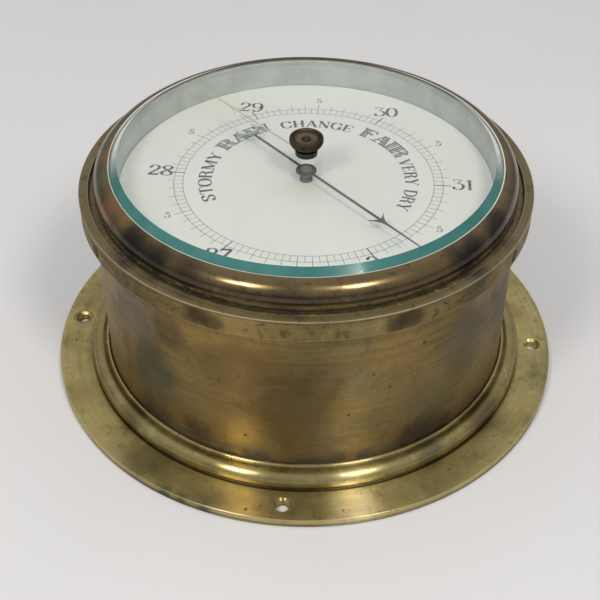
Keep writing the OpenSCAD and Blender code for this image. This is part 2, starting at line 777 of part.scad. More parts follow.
module main_lever() {
    color(steel) union() {
        difference() {
            union() {
                translate([lever_x0, -lever_w / 2, lever_z])
                    cube([lever_end_x - 5 - lever_x0, lever_w, lever_t]);
                translate([lever_end_x - 6, -fork_w / 2, lever_z])
                    cube([6 + lever_nose, fork_w, lever_t]);
            }
            translate([lever_end_x - lever_nose, -fork_gap / 2, lever_z - 1])
                cube([2 * lever_nose + 1, fork_gap, lever_t + 2]);
            for (x = lever_screw_xs) translate([x, 0, lever_z - 1])
                cylinder(r = lever_screw_r, h = lever_t + 2);
        }
        translate([lever_end_x, 0, lever_pin_z]) rotate([90, 0, 0])
            cylinder(r = pivot_r, h = fork_w, center = true);
    }
}

module compensating_strip() {
    color(bright_brass) translate([strip_x0, -lever_w / 2, lever_z + lever_t])
        cube([strip_x1 - strip_x0, lever_w, strip_t]);
}

module lever_screws() {
    color(steel) for (x = lever_screw_xs) translate([x, 0, lever_z + lever_t])
        cheese_screw(lever_screw_r, lever_t + spring_t, lever_screw_head_r, lever_screw_head_h);
}

module connecting_link() {
    eye_r = 1.3;
    link_t = fork_gap - 0.4;
    color(steel) difference() {
        union() {
            for (z = [lever_pin_z, shaft_z]) translate([lever_end_x, 0, z]) rotate([90, 0, 0])
                cylinder(r = eye_r, h = link_t, center = true);
            translate([lever_end_x - 0.6, -link_t / 2, shaft_z + 0.8])
                cube([1.2, link_t, shaft_drop - 1.6]);
        }
        translate([lever_end_x, 0, lever_pin_z]) rotate([90, 0, 0])
            cylinder(r = pivot_r + running, h = link_t + 2, center = true);
        translate([lever_end_x, 0, shaft_z]) rotate([90, 0, 0])
            cylinder(r = pivot_r + link_play, h = link_t + 2, center = true);
    }
}

module rocking_shaft() {
    arm_top = chain_z - shaft_z;
    color(steel) translate([shaft_x, 0, shaft_z]) union() {
        difference() {
            union() {
                rotate([90, 0, 0]) cylinder(r = shaft_r, h = shaft_len, center = true);
                rotate([90, 0, 0]) cylinder(r = pivot_r, h = shaft_len + 2 * pivot_len, center = true);
                rotate([90, 0, 0]) cylinder(r = shaft_r + 0.5, h = fork_w, center = true);
                translate([0, -fork_w / 2, -0.8]) cube([short_arm + 0.7, fork_w, 1.6]);
            }
            translate([shaft_r + 0.1, -fork_gap / 2, -3]) cube([short_arm + 2, fork_gap, 6]);
        }
        translate([short_arm, 0, 0]) rotate([90, 0, 0]) cylinder(r = pivot_r, h = fork_w, center = true);
        translate([0, arm_y + arm_t, 0]) rotate([90, 0, 0]) cylinder(r = shaft_r + 1, h = arm_t);
        translate([-0.8, arm_y, 0]) cube([1.6, arm_t, arm_top + 0.8]);
        translate([0, arm_y + arm_t, arm_top]) rotate([90, 0, 0])
            cylinder(r = arm_pin_r, h = arm_y + arm_t - chain_y + 0.6);
    }
}

module shaft_brackets() {
    color(bright_brass) for (side = [-1, 1]) difference() {
        union() {
            translate([shaft_x - bracket_w / 2, side > 0 ? bracket_y : -bracket_y - bracket_t, base_z])
                cube([bracket_w, bracket_t, bracket_h]);
            translate([shaft_x - bracket_w, side > 0 ? bracket_y : -bracket_y - bracket_t, base_z])
                cube([2 * bracket_w, bracket_t, bracket_foot_t]);
        }
        translate([shaft_x, 0, shaft_z]) rotate([side > 0 ? -90 : 90, 0, 0])
            cylinder(r = m3_r, h = bracket_y + bracket_t + 1);
    }
}

module shaft_pivot_screws() {
    len = bracket_t + 1.6;
    color(steel) for (side = [-1, 1]) translate([shaft_x, side * bracket_y, shaft_z])
        rotate([side > 0 ? -90 : 90, 0, 0]) difference() {
            cylinder(r = m3_r, h = len);
            translate([0, 0, -1]) cylinder(r = pivot_r + running, h = pivot_len + 1);
            translate([-m3_r - 1, -slot_w / 2, len - slot_d]) cube([2 * m3_r + 2, slot_w, slot_d + 1]);
        }
}

module fusee_chain() {
    count = floor(chain_len / chain_pitch);
    pitch = chain_len / count;
    color(steel) union() {
        for (k = [0:count - 1]) translate([k * pitch, chain_y + (k % 2) * chain_stagger, chain_z])
            rotate([90, 0, 0]) chain_link(pitch);
        ring(chain_drum_r, chain_drum_r + chain_link_t, chain_z - chain_link_w / 2, chain_link_w);
    }
}

module pointer_arbor() {
    color(steel) union() {
        translate([0, 0, lower_bridge_z + bridge_t + running])
            cylinder(r = arbor_r, h = arbor_top_z - lower_bridge_z - bridge_t - running);
        translate([0, 0, arbor_bottom_z]) cylinder(r = pivot_r, h = bridge_t + 1);
        translate([0, 0, chain_z - 1.5]) cylinder(r = chain_drum_r, h = 3);
        for (z = [chain_z - 1.5, chain_z + 1.1]) translate([0, 0, z])
            cylinder(r = chain_drum_r + 0.9, h = 0.4);
        translate([0, 0, hairspring_z - 0.4])
            cylinder(r = hairspring_hub_r - hairspring_t / 2, h = hairspring_h + 0.8);
    }
}

module lower_bridge() {
    color(bright_brass) difference() {
        translate([-bridge_w / 2, -lower_bridge_half, lower_bridge_z])
            cube([bridge_w, 2 * lower_bridge_half, bridge_t]);
        translate([0, 0, lower_bridge_z - 1]) cylinder(r = pivot_r + running, h = bridge_t + 2);
        for (y = [-1, 1]) translate([0, y * lower_pillar_y, lower_bridge_z - 1])
            cylinder(r = m3_r, h = bridge_t + 2);
    }
}

module lower_bridge_pillars() {
    color(bright_brass) for (y = [-1, 1]) translate([0, y * lower_pillar_y, base_z]) difference() {
        cylinder(r = lower_pillar_r, h = lower_bridge_z - base_z);
        translate([0, 0, lower_bridge_z - base_z - screw_depth]) cylinder(r = m3_r, h = screw_depth + 1);
    }
}

module lower_bridge_screws() {
    color(steel) for (y = [-1, 1]) translate([0, y * lower_pillar_y, lower_bridge_z + bridge_t])
        cheese_screw(m3_r, bridge_t + screw_depth - 1, m3_head_r, m3_head_h);
}

module upper_bridge() {
    color(bright_brass) difference() {
        translate([-bridge_w / 3, -upper_bridge_half, upper_bridge_z])
            cube([bridge_w / 1.5, 2 * upper_bridge_half, bridge_t]);
        translate([0, 0, upper_bridge_z - 1]) cylinder(r = arbor_r + running, h = bridge_t + 2);
        for (y = [-1, 1]) translate([0, y * upper_pillar_y, upper_bridge_z - 1])
            cylinder(r = lever_screw_r, h = bridge_t + 2);
    }
}

module upper_bridge_pillars() {
    height = upper_bridge_z - lower_bridge_z - bridge_t;
    color(bright_brass) for (y = [-1, 1])
        translate([0, y * upper_pillar_y, lower_bridge_z + bridge_t]) difference() {
            cylinder(r = upper_pillar_r, h = height);
            translate([0, 0, height - small_screw_depth])
                cylinder(r = lever_screw_r, h = small_screw_depth + 1);
        }
}

module upper_bridge_screws() {
    color(steel) for (y = [-1, 1]) translate([0, y * upper_pillar_y, upper_bridge_z + bridge_t])
        cheese_screw(lever_screw_r, bridge_t + small_screw_depth - 1,
            lever_screw_head_r, lever_screw_head_h);
}

// Points along the hairspring, set off sideways from its middle line
function spiral(side) = [
    for (k = [0:hairspring_turns * 24])
        let (a = k * 15, r = hairspring_hub_r + hairspring_pitch * a / 360 + side * hairspring_t / 2)
            [r * cos(a + 90), r * sin(a + 90)]
];

module hairspring() {
    inner = spiral(-1);
    outer = spiral(1);
    count = len(outer);
    color(blued) translate([0, 0, hairspring_z]) linear_extrude(hairspring_h)
        polygon(concat(inner, [for (k = [count - 1:-1:0]) outer[k]]));
}

module hairspring_stud() {
    foot_z = lower_bridge_z + bridge_t;
    color(bright_brass) translate([0, hairspring_r + hairspring_t / 2 + stud_post_r, foot_z])
        cylinder(r = stud_post_r, h = hairspring_z + hairspring_h + 0.4 - foot_z);
}

module pointer_collet() {
    color(steel) difference() {
        union() {
            rotate_extrude() polygon([
                [0, collet_z], [arbor_r + 0.9, collet_z], [arbor_r + 0.6, collet_z + 0.5],
                [arbor_r + 0.9, collet_z + 1], [hub_r - 0.3, pointer_z - 0.4], [hub_r, pointer_z - 0.3],
                [hub_r, pointer_z], [0, pointer_z]
            ]);
            translate([0, 0, pointer_z - eps]) cylinder(r = collet_boss_r, h = pointer_t + collet_boss_h);
        }
        translate([0, 0, collet_z - 1]) cylinder(r = arbor_r, h = 10);
    }
}

// One side of a hand along +X: a thin rod, a swept barb and the rod beyond it
function hand_side(len, barb_x, half_w, rod) = concat(
    [[0, rod]],
    curve([barb_x + 2, rod], [barb_x + 1.7, half_w * 0.5], [barb_x, half_w]),
    curve([barb_x + 0.3, half_w], [barb_x + 3.2, rod], [barb_x + 7, rod * 0.75]),
    [[len, rod * 0.25]]
);

// A hand's flat outline: that side and its mirror image
module hand_outline(len, barb_x, half_w, rod) {
    side = hand_side(len, barb_x, half_w, rod);
    count = len(side);
    polygon(concat(side, [for (k = [count - 1:-1:0]) [side[k][0], -side[k][1]]]));
}

// The pointer's crescent, open towards the dial's edge
module crescent() {
    difference() {
        cylinder(r = crescent_r, h = pointer_t);
        translate([-1.5, 0, -1]) cylinder(r = crescent_r - 0.8, h = pointer_t + 2);
    }
}

module pointer() {
    tail = crescent_at - crescent_r + 1;
    color(steel) translate([0, 0, pointer_z]) rotate([0, 0, pointer_angle]) difference() {
        union() {
            linear_extrude(pointer_t) hand_outline(pointer_len, barb_at, barb_half_w, rod_half_w);
            translate([-tail, -rod_half_w, 0]) cube([tail + 1, 2 * rod_half_w, pointer_t]);
            cylinder(r = hub_r - 0.2, h = pointer_t);
            translate([-crescent_at, 0, 0]) crescent();
        }
        translate([0, 0, -1]) cylinder(r = collet_boss_r, h = pointer_t + 2);
    }
}

// The knurled rim's outline: a circle with a shallow notch between teeth
module knurled_outline() {
    notch = 360 / knurl_count;
    polygon([
        for (k = [0:knurl_count - 1]) for (side = [0, 1])
            (knob_r - knurl_depth * side) * [cos(notch * (k + side / 2)), sin(notch * (k + side / 2))]
    ]);
}

module set_knob() {
    rim_z = knob_top_z - knurl_h;
    color(knob_brown) difference() {
        union() {
            rotate_extrude() polygon(concat(
                [[0, knob_z], [knob_neck_r, knob_z], [knob_neck_r, knob_z + 0.6]],
                curve([knob_neck_r, knob_z + 0.7], [knob_r - edge_break, knob_z + 1],
                    [knob_r - edge_break, rim_z]),
                [[0, rim_z + eps]]
            ));
            translate([0, 0, rim_z]) linear_extrude(knurl_h - edge_break) knurled_outline();
            translate([0, 0, knob_top_z - edge_break - eps])
                cylinder(r1 = knob_r - knurl_depth, r2 = knob_dish_r + 0.4, h = edge_break + eps);
        }
        translate([0, 0, knob_floor_z])
            cylinder(r1 = knob_boss_r + 0.4, r2 = knob_dish_r, h = knob_dish_d + eps);
        translate([0, 0, knob_z - 1]) cylinder(r = spindle_r, h = spindle_top_z - knob_z + 1);
    }
}

module set_spindle() {
    shoulder_z = set_hand_z + set_hand_t;
    color(dark_brass) difference() {
        union() {
            translate([0, 0, shoulder_z]) cylinder(r = spindle_r, h = spindle_top_z - shoulder_z);
            translate([0, 0, set_hand_z]) cylinder(r = hand_seat_r, h = set_hand_t + eps);
        }
        translate([0, 0, set_hand_z - 1]) cylinder(r = hand_screw_r, h = hand_screw_len + 1);
    }
}

module set_hand() {
    color(bright_brass) translate([0, 0, set_hand_z]) rotate([0, 0, set_hand_angle]) difference() {
        union() {
            linear_extrude(set_hand_t) hand_outline(set_hand_len, barb_at + 1, barb_half_w - 0.9, 0.3);
            cylinder(r = set_hub_r, h = set_hand_t);
        }
        translate([0, 0, -1]) cylinder(r = hand_seat_r, h = set_hand_t + 2);
    }
}

module set_hand_screw() {
    head_r = 1.5;
    head_h = 0.7;
    color(bright_brass) translate([0, 0, set_hand_z]) mirror([0, 0, 1]) union() {
        difference() {
            cylinder(r = head_r, h = head_h);
            translate([-head_r - 1, -slot_w / 4, head_h / 2]) cube([2 * head_r + 2, slot_w / 2, head_h]);
        }
        translate([0, 0, -hand_screw_len]) cylinder(r = hand_screw_r, h = hand_screw_len + eps);
    }
}

mounting_flange();
case_drum();
case_collar();
back_plate();
back_plate_screws();
bezel_ring();
bezel_screws();
glass_pane();
glass_split_ring();
glass_bush();
dial_sleeve();
dial_plate();
dial_bush();
dial_pillars();
dial_pillar_screws();
movement_base();
base_pillars();
base_pillar_screws_front();
base_pillar_screws_back();
capsule_lower_diaphragm();
capsule_upper_diaphragm();
capsule_stud();
capsule_nut();
capsule_post();
knife_edge_pin();
main_spring();
spring_carriage();
spring_clamp_bar();
spring_clamp_screws();
adjusting_screw();
main_lever();
compensating_strip();
lever_screws();
connecting_link();
rocking_shaft();
shaft_brackets();
shaft_pivot_screws();
fusee_chain();
pointer_arbor();
lower_bridge();
lower_bridge_pillars();
lower_bridge_screws();
upper_bridge();
upper_bridge_pillars();
upper_bridge_screws();
hairspring();
hairspring_stud();
pointer_collet();
pointer();
set_knob();
set_spindle();
set_hand();
set_hand_screw();
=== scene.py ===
"""Marine barometer: the dressed model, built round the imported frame.

Lengths are millimetres and are turned to metres where a mesh or a material takes them. Only
the camera and the lamps are placed in metres. The origin is the centre of the flange's back
face, +Z points out through the dial and +Y points to twelve o'clock.
"""

import json
import logging
import math
from dataclasses import dataclass, field
from enum import Enum
from typing import Any, Callable, Iterable, Sequence

import bpy
import numpy as np
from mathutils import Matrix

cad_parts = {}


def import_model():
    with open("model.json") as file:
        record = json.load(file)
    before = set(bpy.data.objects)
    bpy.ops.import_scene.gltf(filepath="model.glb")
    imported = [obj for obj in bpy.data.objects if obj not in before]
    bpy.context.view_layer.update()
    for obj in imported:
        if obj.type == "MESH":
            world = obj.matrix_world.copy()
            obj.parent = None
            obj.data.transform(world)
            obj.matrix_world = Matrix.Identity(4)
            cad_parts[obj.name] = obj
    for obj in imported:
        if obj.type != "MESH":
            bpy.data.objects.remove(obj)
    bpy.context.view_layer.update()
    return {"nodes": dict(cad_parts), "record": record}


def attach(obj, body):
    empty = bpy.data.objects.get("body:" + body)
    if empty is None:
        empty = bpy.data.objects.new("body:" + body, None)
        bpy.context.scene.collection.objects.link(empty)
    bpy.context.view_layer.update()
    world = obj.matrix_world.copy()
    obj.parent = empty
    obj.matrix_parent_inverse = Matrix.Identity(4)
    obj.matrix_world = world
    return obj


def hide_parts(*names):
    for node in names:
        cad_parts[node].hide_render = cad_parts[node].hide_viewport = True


log = logging.getLogger("barometer")
logging.basicConfig(level=logging.INFO, format="%(message)s")

MM = 0.001
CREASE_DEG = 32.0  # edges that turn by more than this stay sharp
WELD_GAP = 1e-7  # metres between points that count as one
TURN_STEPS = 384  # steps round the axis of the large turned pieces
DRILL_STEPS = 64  # steps round a drilled hole
LONGEST = 6.0  # longest side along a turned section
Point = tuple[float, float]
Place = tuple[float, float, float]
Colour = tuple[float, float, float]


# Surfaces

def make_mesh(name: str, verts: np.ndarray, faces: np.ndarray, merge: bool = False,
              slots: np.ndarray | None = None) -> bpy.types.Object:
    """Turns arrays into a smooth-shaded object at the origin, with sharp edges kept.

    Args:
        name: the piece's name.
        verts: points as an (n, 3) array in millimetres.
        faces: corners of four-sided faces as an (m, 4) array, anticlockwise from outside.
        merge: joins points that fall on one another, such as at a pole.
        slots: the material slot of each face, where there is more than one.

    Returns:
        The new object, linked to the scene.
    """
    mesh = bpy.data.meshes.new(name)
    faces = np.asarray(faces, dtype=np.int32)
    corners = faces.shape[1]
    mesh.vertices.add(len(verts))
    mesh.vertices.foreach_set("co", np.ascontiguousarray(verts * MM, dtype=np.float32).ravel())
    mesh.loops.add(faces.size)
    mesh.loops.foreach_set("vertex_index", np.ascontiguousarray(faces).ravel())
    mesh.polygons.add(len(faces))
    starts = np.arange(len(faces), dtype=np.int32) * corners
    mesh.polygons.foreach_set("loop_start", starts)
    if slots is not None:
        mesh.polygons.foreach_set("material_index", np.asarray(slots, dtype=np.int32))
    mesh.update(calc_edges=True)
    mesh.validate()
    if merge:
        weld(mesh)
    smooth(mesh)
    obj = bpy.data.objects.new(name, mesh)
    bpy.context.scene.collection.objects.link(obj)
    return obj


def smooth(mesh: bpy.types.Mesh) -> None:
    """Shades a mesh smooth and keeps its creases sharp."""
    mesh.shade_smooth()
    mesh.set_sharp_from_angle(angle=math.radians(CREASE_DEG))


def weld(mesh: bpy.types.Mesh) -> None:
    """Merges points that coincide and drops the faces that this leaves without area.

    Args:
        mesh: the mesh to clean.
    """
    import bmesh
    work = bmesh.new()
    work.from_mesh(mesh)
    bmesh.ops.remove_doubles(work, verts=work.verts, dist=WELD_GAP)
    bmesh.ops.dissolve_degenerate(work, dist=WELD_GAP / 10, edges=work.edges)
    work.to_mesh(mesh)
    work.free()


def grid_faces(rows: int, columns: int, wrap_rows: bool, wrap_columns: bool) -> np.ndarray:
    """Faces of a grid of points: (i, j), (i, j + 1), (i + 1, j + 1), (i + 1, j).

    Args:
        rows: points along the section.
        columns: points along the path.
        wrap_rows: joins the last row to the first.
        wrap_columns: joins the last column to the first.

    Returns:
        Corner numbers as an (n, 4) array.
    """
    i = np.arange(rows if wrap_rows else rows - 1)
    j = np.arange(columns if wrap_columns else columns - 1)
    i, j = np.meshgrid(i, j, indexing="ij")
    up, along = (i + 1) % rows, (j + 1) % columns
    return np.stack([i * columns + j, i * columns + along,
                     up * columns + along, up * columns + j], axis=-1).reshape(-1, 4)


def arc(centre: Point, radius: float, start: float, end: float, steps: int = 24) -> np.ndarray:
    """Points of an arc: centre plus radius times (cos a, sin a), a in degrees from start to end."""
    a = np.radians(np.linspace(start, end, steps + 1))
    return np.stack([centre[0] + radius * np.cos(a), centre[1] + radius * np.sin(a)], axis=1)


def curve(a: Point, b: Point, c: Point, steps: int = 10) -> np.ndarray:
    """Points of a curve from a to c that leans towards b: (1-u)^2 a + 2u(1-u) b + u^2 c."""
    u = np.linspace(0, 1, steps + 1)[:, None]
    return (1 - u) ** 2 * np.array(a) + 2 * u * (1 - u) * np.array(b) + u ** 2 * np.array(c)


def outline(*parts: Point | np.ndarray) -> np.ndarray:
    """Joins points and runs of points into one line in the (radius, height) plane."""
    return np.concatenate([np.atleast_2d(np.asarray(p, dtype=float)) for p in parts])


def soften(line: np.ndarray, radius: float, closed: bool = True, turn_deg: float = 28.0,
           steps: int = 4) -> np.ndarray:
    """Rounds each sharp corner of a line with a short curve that leans on the corner.

    Args:
        line: points as an (n, 2) array.
        radius: how far the curve reaches along both sides, at most 0.45 of a side.
        closed: whether the last point joins the first.
        turn_deg: corners that turn by less stay as they are.
        steps: pieces in each curve.

    Returns:
        The line with its corners rounded.
    """
    before, after = np.roll(line, 1, axis=0) - line, np.roll(line, -1, axis=0) - line
    len_b, len_a = np.linalg.norm(before, axis=1), np.linalg.norm(after, axis=1)
    dir_b, dir_a = before / (len_b[:, None] + 1e-12), after / (len_a[:, None] + 1e-12)
    turn = 180 - np.degrees(np.arccos(np.clip((dir_b * dir_a).sum(axis=1), -1, 1)))
    sharp = turn > turn_deg
    if not closed:
        sharp[[0, -1]] = False
    cut = np.minimum(radius, 0.45 * np.minimum(len_b, len_a))[:, None]
    start, end = line + dir_b * cut, line + dir_a * cut
    return np.concatenate([curve(start[k], line[k], end[k], steps) if sharp[k] else line[k:k + 1]
                           for k in range(len(line))])


def densify(line: np.ndarray, longest: float, closed: bool = True) -> np.ndarray:
    """Adds points along a line so that no side is longer than the given length.

    Args:
        line: points as an (n, 2) array.
        longest: the longest side that stays whole.
        closed: whether the last point joins the first.

    Returns:
        The line with its added points.
    """
    last = np.roll(line, -1, axis=0) if closed else np.concatenate([line[1:], line[-1:]])
    runs = []
    for a, b in zip(line, last):
        count = max(1, int(np.ceil(np.linalg.norm(b - a) / longest)))
        u = np.arange(count)[:, None] / count
        runs.append(a + (b - a) * u)
    return np.concatenate(runs)


def lathe(name: str, line: np.ndarray, segments: int = TURN_STEPS, closed: bool = True,
          ripple: Callable[[np.ndarray], np.ndarray] | None = None,
          depth: np.ndarray | None = None, slots: np.ndarray | None = None) -> bpy.types.Object:
    """Turns a line round the Z axis: x = r cos t, y = r sin t, z = h on a grid of (line, t).

    Args:
        name: the piece's name.
        line: (radius, height) points, anticlockwise where closed, so that normals face out.
        segments: steps round the axis.
        closed: whether the line is a closed section. An open one runs from axis to axis.
        ripple: how deep the surface is cut at angle t, from 0 to 1.
        depth: the cut's full depth for each point of the line.
        slots: the material slot of each side of the line, where there is more than one.

    Returns:
        The turned piece.
    """
    t = np.linspace(0, 2 * np.pi, segments, endpoint=False)
    r = np.repeat(line[:, :1], segments, axis=1)
    if ripple is not None and depth is not None:
        r = r - depth[:, None] * ripple(t)[None, :]
    h = np.repeat(line[:, 1:], segments, axis=1)
    verts = np.stack([r * np.cos(t), r * np.sin(t), h], axis=-1).reshape(-1, 3)
    faces = grid_faces(len(line), segments, closed, True)
    if slots is not None:
        slots = np.repeat(slots, segments)
    return make_mesh(name, verts, faces, merge=not closed, slots=slots)


def carve(piece: bpy.types.Object, cutters: Iterable[bpy.types.Object]) -> None:
    """Cuts the cutters out of a piece for good and removes them.

    Args:
        piece: what is cut.
        cutters: the solids that are taken away.
    """
    cutters = list(cutters)
    for cutter in cutters:
        step = piece.modifiers.new("cut", "BOOLEAN")
        step.operation, step.solver, step.object = "DIFFERENCE", "EXACT", cutter
    bpy.context.view_layer.update()
    graph = bpy.context.evaluated_depsgraph_get()
    mesh = bpy.data.meshes.new_from_object(piece.evaluated_get(graph))
    piece.modifiers.clear()
    piece.data = mesh
    smooth(mesh)
    for cutter in cutters:
        bpy.data.objects.remove(cutter)


def plug(name: str, line: np.ndarray, place: np.ndarray, axis: np.ndarray) -> bpy.types.Object:
    """A turned solid set on another axis: place + r cos t * u + r sin t * v + h * axis.

    Args:
        name: the piece's name.
        line: (radius, height) points from axis to axis, upwards.
        place: where the solid's own origin goes.
        axis: the direction that its height follows.

    Returns:
        The solid.
    """
    axis = axis / np.linalg.norm(axis)
    side = np.cross(axis, [0.0, 0.0, 1.0] if abs(axis[2]) < 0.9 else [0.0, 1.0, 0.0])
    u = side / np.linalg.norm(side)
    v = np.cross(axis, u)
    t = np.linspace(0, 2 * np.pi, DRILL_STEPS, endpoint=False)
    r, h = line[:, :1, None], line[:, 1:, None]
    verts = place + r * (np.cos(t)[None, :, None] * u + np.sin(t)[None, :, None] * v) + h * axis
    faces = grid_faces(len(line), DRILL_STEPS, False, True)
    return make_mesh(name, verts.reshape(-1, 3), faces, merge=True)


# Shader tools

class Wire:
    """One output of a shader node. Sums on it add Math nodes to the material."""

    def __init__(self, tree: "Tree", socket: bpy.types.NodeSocket) -> None:
        """Keeps the tree and the socket."""
        self.tree, self.socket = tree, socket

    def _math(self, operation: str, *values: Any) -> "Wire":
        """Adds a Math node on these values."""
        return self.tree.wire("ShaderNodeMath", {"operation": operation}, dict(enumerate(values)))

    def __add__(self, other: Any) -> "Wire":
        """self + other."""
        return self._math("ADD", self, other)

    __radd__ = __add__

    def __sub__(self, other: Any) -> "Wire":
        """self - other."""
        return self._math("SUBTRACT", self, other)

    def __rsub__(self, other: Any) -> "Wire":
        """other - self."""
        return self._math("SUBTRACT", other, self)

    def __mul__(self, other: Any) -> "Wire":
        """self * other."""
        return self._math("MULTIPLY", self, other)

    __rmul__ = __mul__

    def __truediv__(self, other: Any) -> "Wire":
        """self / other."""
        return self._math("DIVIDE", self, other)

    def __pow__(self, other: Any) -> "Wire":
        """self to the power of other."""
        return self._math("POWER", self, other)

    def most(self, other: Any) -> "Wire":
        """The larger of two values."""
        return self._math("MAXIMUM", self, other)

    def least(self, other: Any) -> "Wire":
        """The smaller of two values."""
        return self._math("MINIMUM", self, other)

    def size(self) -> "Wire":
        """The value without its sign."""
        return self._math("ABSOLUTE", self)

    def ramp(self, low: float, high: float, out_low: float = 0.0, out_high: float = 1.0) -> "Wire":
        """A smooth step from out_low at low to out_high at high.

        Args:
            low: the value at which the step begins.
            high: the value at which it ends.
            out_low: what it gives before the step.
            out_high: what it gives after it.

        Returns:
            The step.
        """
        return self.tree.wire("ShaderNodeMapRange", {"interpolation_type": "SMOOTHSTEP"},
                              {"Value": self, "From Min": low, "From Max": high,
                               "To Min": out_low, "To Max": out_high})

    def within(self, inner: float, outer: float, amount: float = 1.0) -> "Wire":
        """For a length: amount up to inner millimetres, falling to nothing at outer."""
        return self.ramp(inner * MM, outer * MM, amount, 0.0)

    def beyond(self, inner: float, outer: float, amount: float = 1.0) -> "Wire":
        """For a length: nothing up to inner millimetres, rising to amount at outer."""
        return self.ramp(inner * MM, outer * MM, 0.0, amount)


class Tree:
    """A material's node tree, with one method that adds any node."""

    def __init__(self, name: str) -> None:
        """Makes an empty material of that name.

        Args:
            name: the material's name.
        """
        self.material = bpy.data.materials.new(name)
        self.material.use_nodes = True
        self.nodes = self.material.node_tree.nodes
        self.links = self.material.node_tree.links
        self.nodes.clear()

    def node(self, kind: str, settings: dict[str, Any] | None = None,
             inputs: dict[Any, Any] | None = None) -> bpy.types.Node:
        """Adds a node.

        Args:
            kind: Blender's name of the node's type.
            settings: its properties, set first.
            inputs: values or wires of its sockets, by name or number.

        Returns:
            The node.
        """
        made = self.nodes.new(kind)
        for key, value in (settings or {}).items():
            setattr(made, key, value)
        for key, value in (inputs or {}).items():
            socket = made.inputs[key]
            if isinstance(value, Wire):
                self.links.new(value.socket, socket)
            elif isinstance(value, tuple) and len(value) == 3 and socket.type == "RGBA":
                socket.default_value = (*value, 1.0)
            else:
                socket.default_value = value
        return made

    def wire(self, kind: str, settings: dict[str, Any] | None = None,
             inputs: dict[Any, Any] | None = None, output: Any = 0) -> Wire:
        """Adds a node and gives one of its outputs."""
        return Wire(self, self.node(kind, settings, inputs).outputs[output])

    def mix(self, amount: Any, a: Any, b: Any) -> Wire:
        """Colour a with amount of b over it.

        Args:
            amount: how much of b shows, from 0 to 1.
            a: the colour below.
            b: the colour on top.

        Returns:
            The mixed colour.
        """
        made = self.node("ShaderNodeMix", {"data_type": "RGBA", "clamp_factor": True})
        sockets = [s for s in made.inputs if s.type == "RGBA"]
        for socket, value in ((made.inputs[0], amount), (sockets[0], a), (sockets[1], b)):
            if isinstance(value, Wire):
                self.links.new(value.socket, socket)
            else:
                socket.default_value = (*value, 1.0) if isinstance(value, tuple) else value
        return Wire(self, next(s for s in made.outputs if s.type == "RGBA"))

    def place(self) -> Wire:
        """The point on the piece, in metres from the flange's centre."""
        return self.wire("ShaderNodeTexCoord", output="Object")

    def parts(self, vector: Wire) -> tuple[Wire, Wire, Wire]:
        """A vector's three numbers."""
        made = self.node("ShaderNodeSeparateXYZ", inputs={0: vector})
        return tuple(Wire(self, s) for s in made.outputs)

    def vector(self, x: Any, y: Any, z: Any) -> Wire:
        """A vector of three numbers."""
        return self.wire("ShaderNodeCombineXYZ", inputs={0: x, 1: y, 2: z})

    def noise(self, vector: Wire, scale: float, detail: float = 3.0, rough: float = 0.55,
              warp: float = 0.0) -> Wire:
        """Cloudy noise from 0 to 1.

        Args:
            vector: where it is taken.
            scale: how fine it is.
            detail: how many finer layers are added to it.
            rough: how strong those layers are.
            warp: how far it is distorted.

        Returns:
            The noise.
        """
        return self.wire("ShaderNodeTexNoise", {"noise_dimensions": "3D"},
                         {"Vector": vector, "Scale": scale, "Detail": detail, "Roughness": rough,
                          "Distortion": warp})

    def distance(self, vector: Wire, point: Sequence[float]) -> Wire:
        """How far it is, in metres, from a point given in millimetres."""
        return self.wire("ShaderNodeVectorMath", {"operation": "DISTANCE"},
                         {0: vector, 1: tuple(c * MM for c in point)}, output="Value")

    def polar(self, vector: Wire) -> tuple[Wire, Wire]:
        """A point's distance from the Z axis, the square root of x^2 + y^2, and its height."""
        x, y, z = self.parts(vector)
        return (x * x + y * y) ** 0.5, z

    def surface(self, shader: bpy.types.NodeSocket) -> bpy.types.Material:
        """Ends the material in this shader.

        Args:
            shader: the shader's output.

        Returns:
            The finished material.
        """
        end = self.nodes.new("ShaderNodeOutputMaterial")
        self.links.new(shader, end.inputs["Surface"])
        return self.material

    def bump(self, height: Wire, distance_mm: float) -> Wire:
        """A normal that follows a height of so many millimetres from 0 to 1."""
        return self.wire("ShaderNodeBump", inputs={"Height": height, "Distance": distance_mm * MM,
                                                   "Strength": 1.0})

    def turned(self, vector: Wire, spread: float, fine: float) -> Wire:
        """A vector that changes slowly round the Z axis and fast across it, for turning marks.

        Args:
            vector: the point on the piece.
            spread: how much it changes round the axis.
            fine: how much it changes for each millimetre of height.

        Returns:
            (x / r * spread, y / r * spread, (z + 0.7 r) * fine), z and r in millimetres.
        """
        x, y, z = self.parts(vector)
        r = (x * x + y * y) ** 0.5 + 1e-5
        return self.vector(x / r * spread, y / r * spread, (z + r * 0.7) * (fine / MM))


# Finishes

def tone(colour: Colour, factor: float, lift: float = 0.0) -> Colour:
    """A colour times factor, plus lift."""
    return tuple(c * factor + lift for c in colour)


@dataclass(frozen=True)
class Band:
    """A tone between two heights, in millimetres, with a soft and slightly ragged border."""
    low: float
    high: float
    soft: float
    shade: Colour
    amount: float


@dataclass(frozen=True)
class StainAndLight:
    """A ragged spot of another tone round a point, in millimetres. Some are real staining; others are
    painted highlights, painted reflections and painted shade.
    """
    place: Place
    size: float
    shade: Colour
    amount: float


@dataclass(frozen=True)
class Edge:
    """A thin line round the axis, lighter or darker than the metal: worn edges and dark joints, and on
    some edges painted highlights and in some grooves painted shade.

    Dull takes away from how metallic the line is.
    """
    radius: float
    height: float
    width: float
    shade: Colour
    amount: float
    dull: float = 0.0


@dataclass(frozen=True)
class Crust:
    """A band of ragged black corrosion in which flecks of bare metal show.

    It lies between two heights and fades outside the radius that it reaches.
    """
    low: float
    high: float
    reach: float
    black: Colour
    bare: Colour


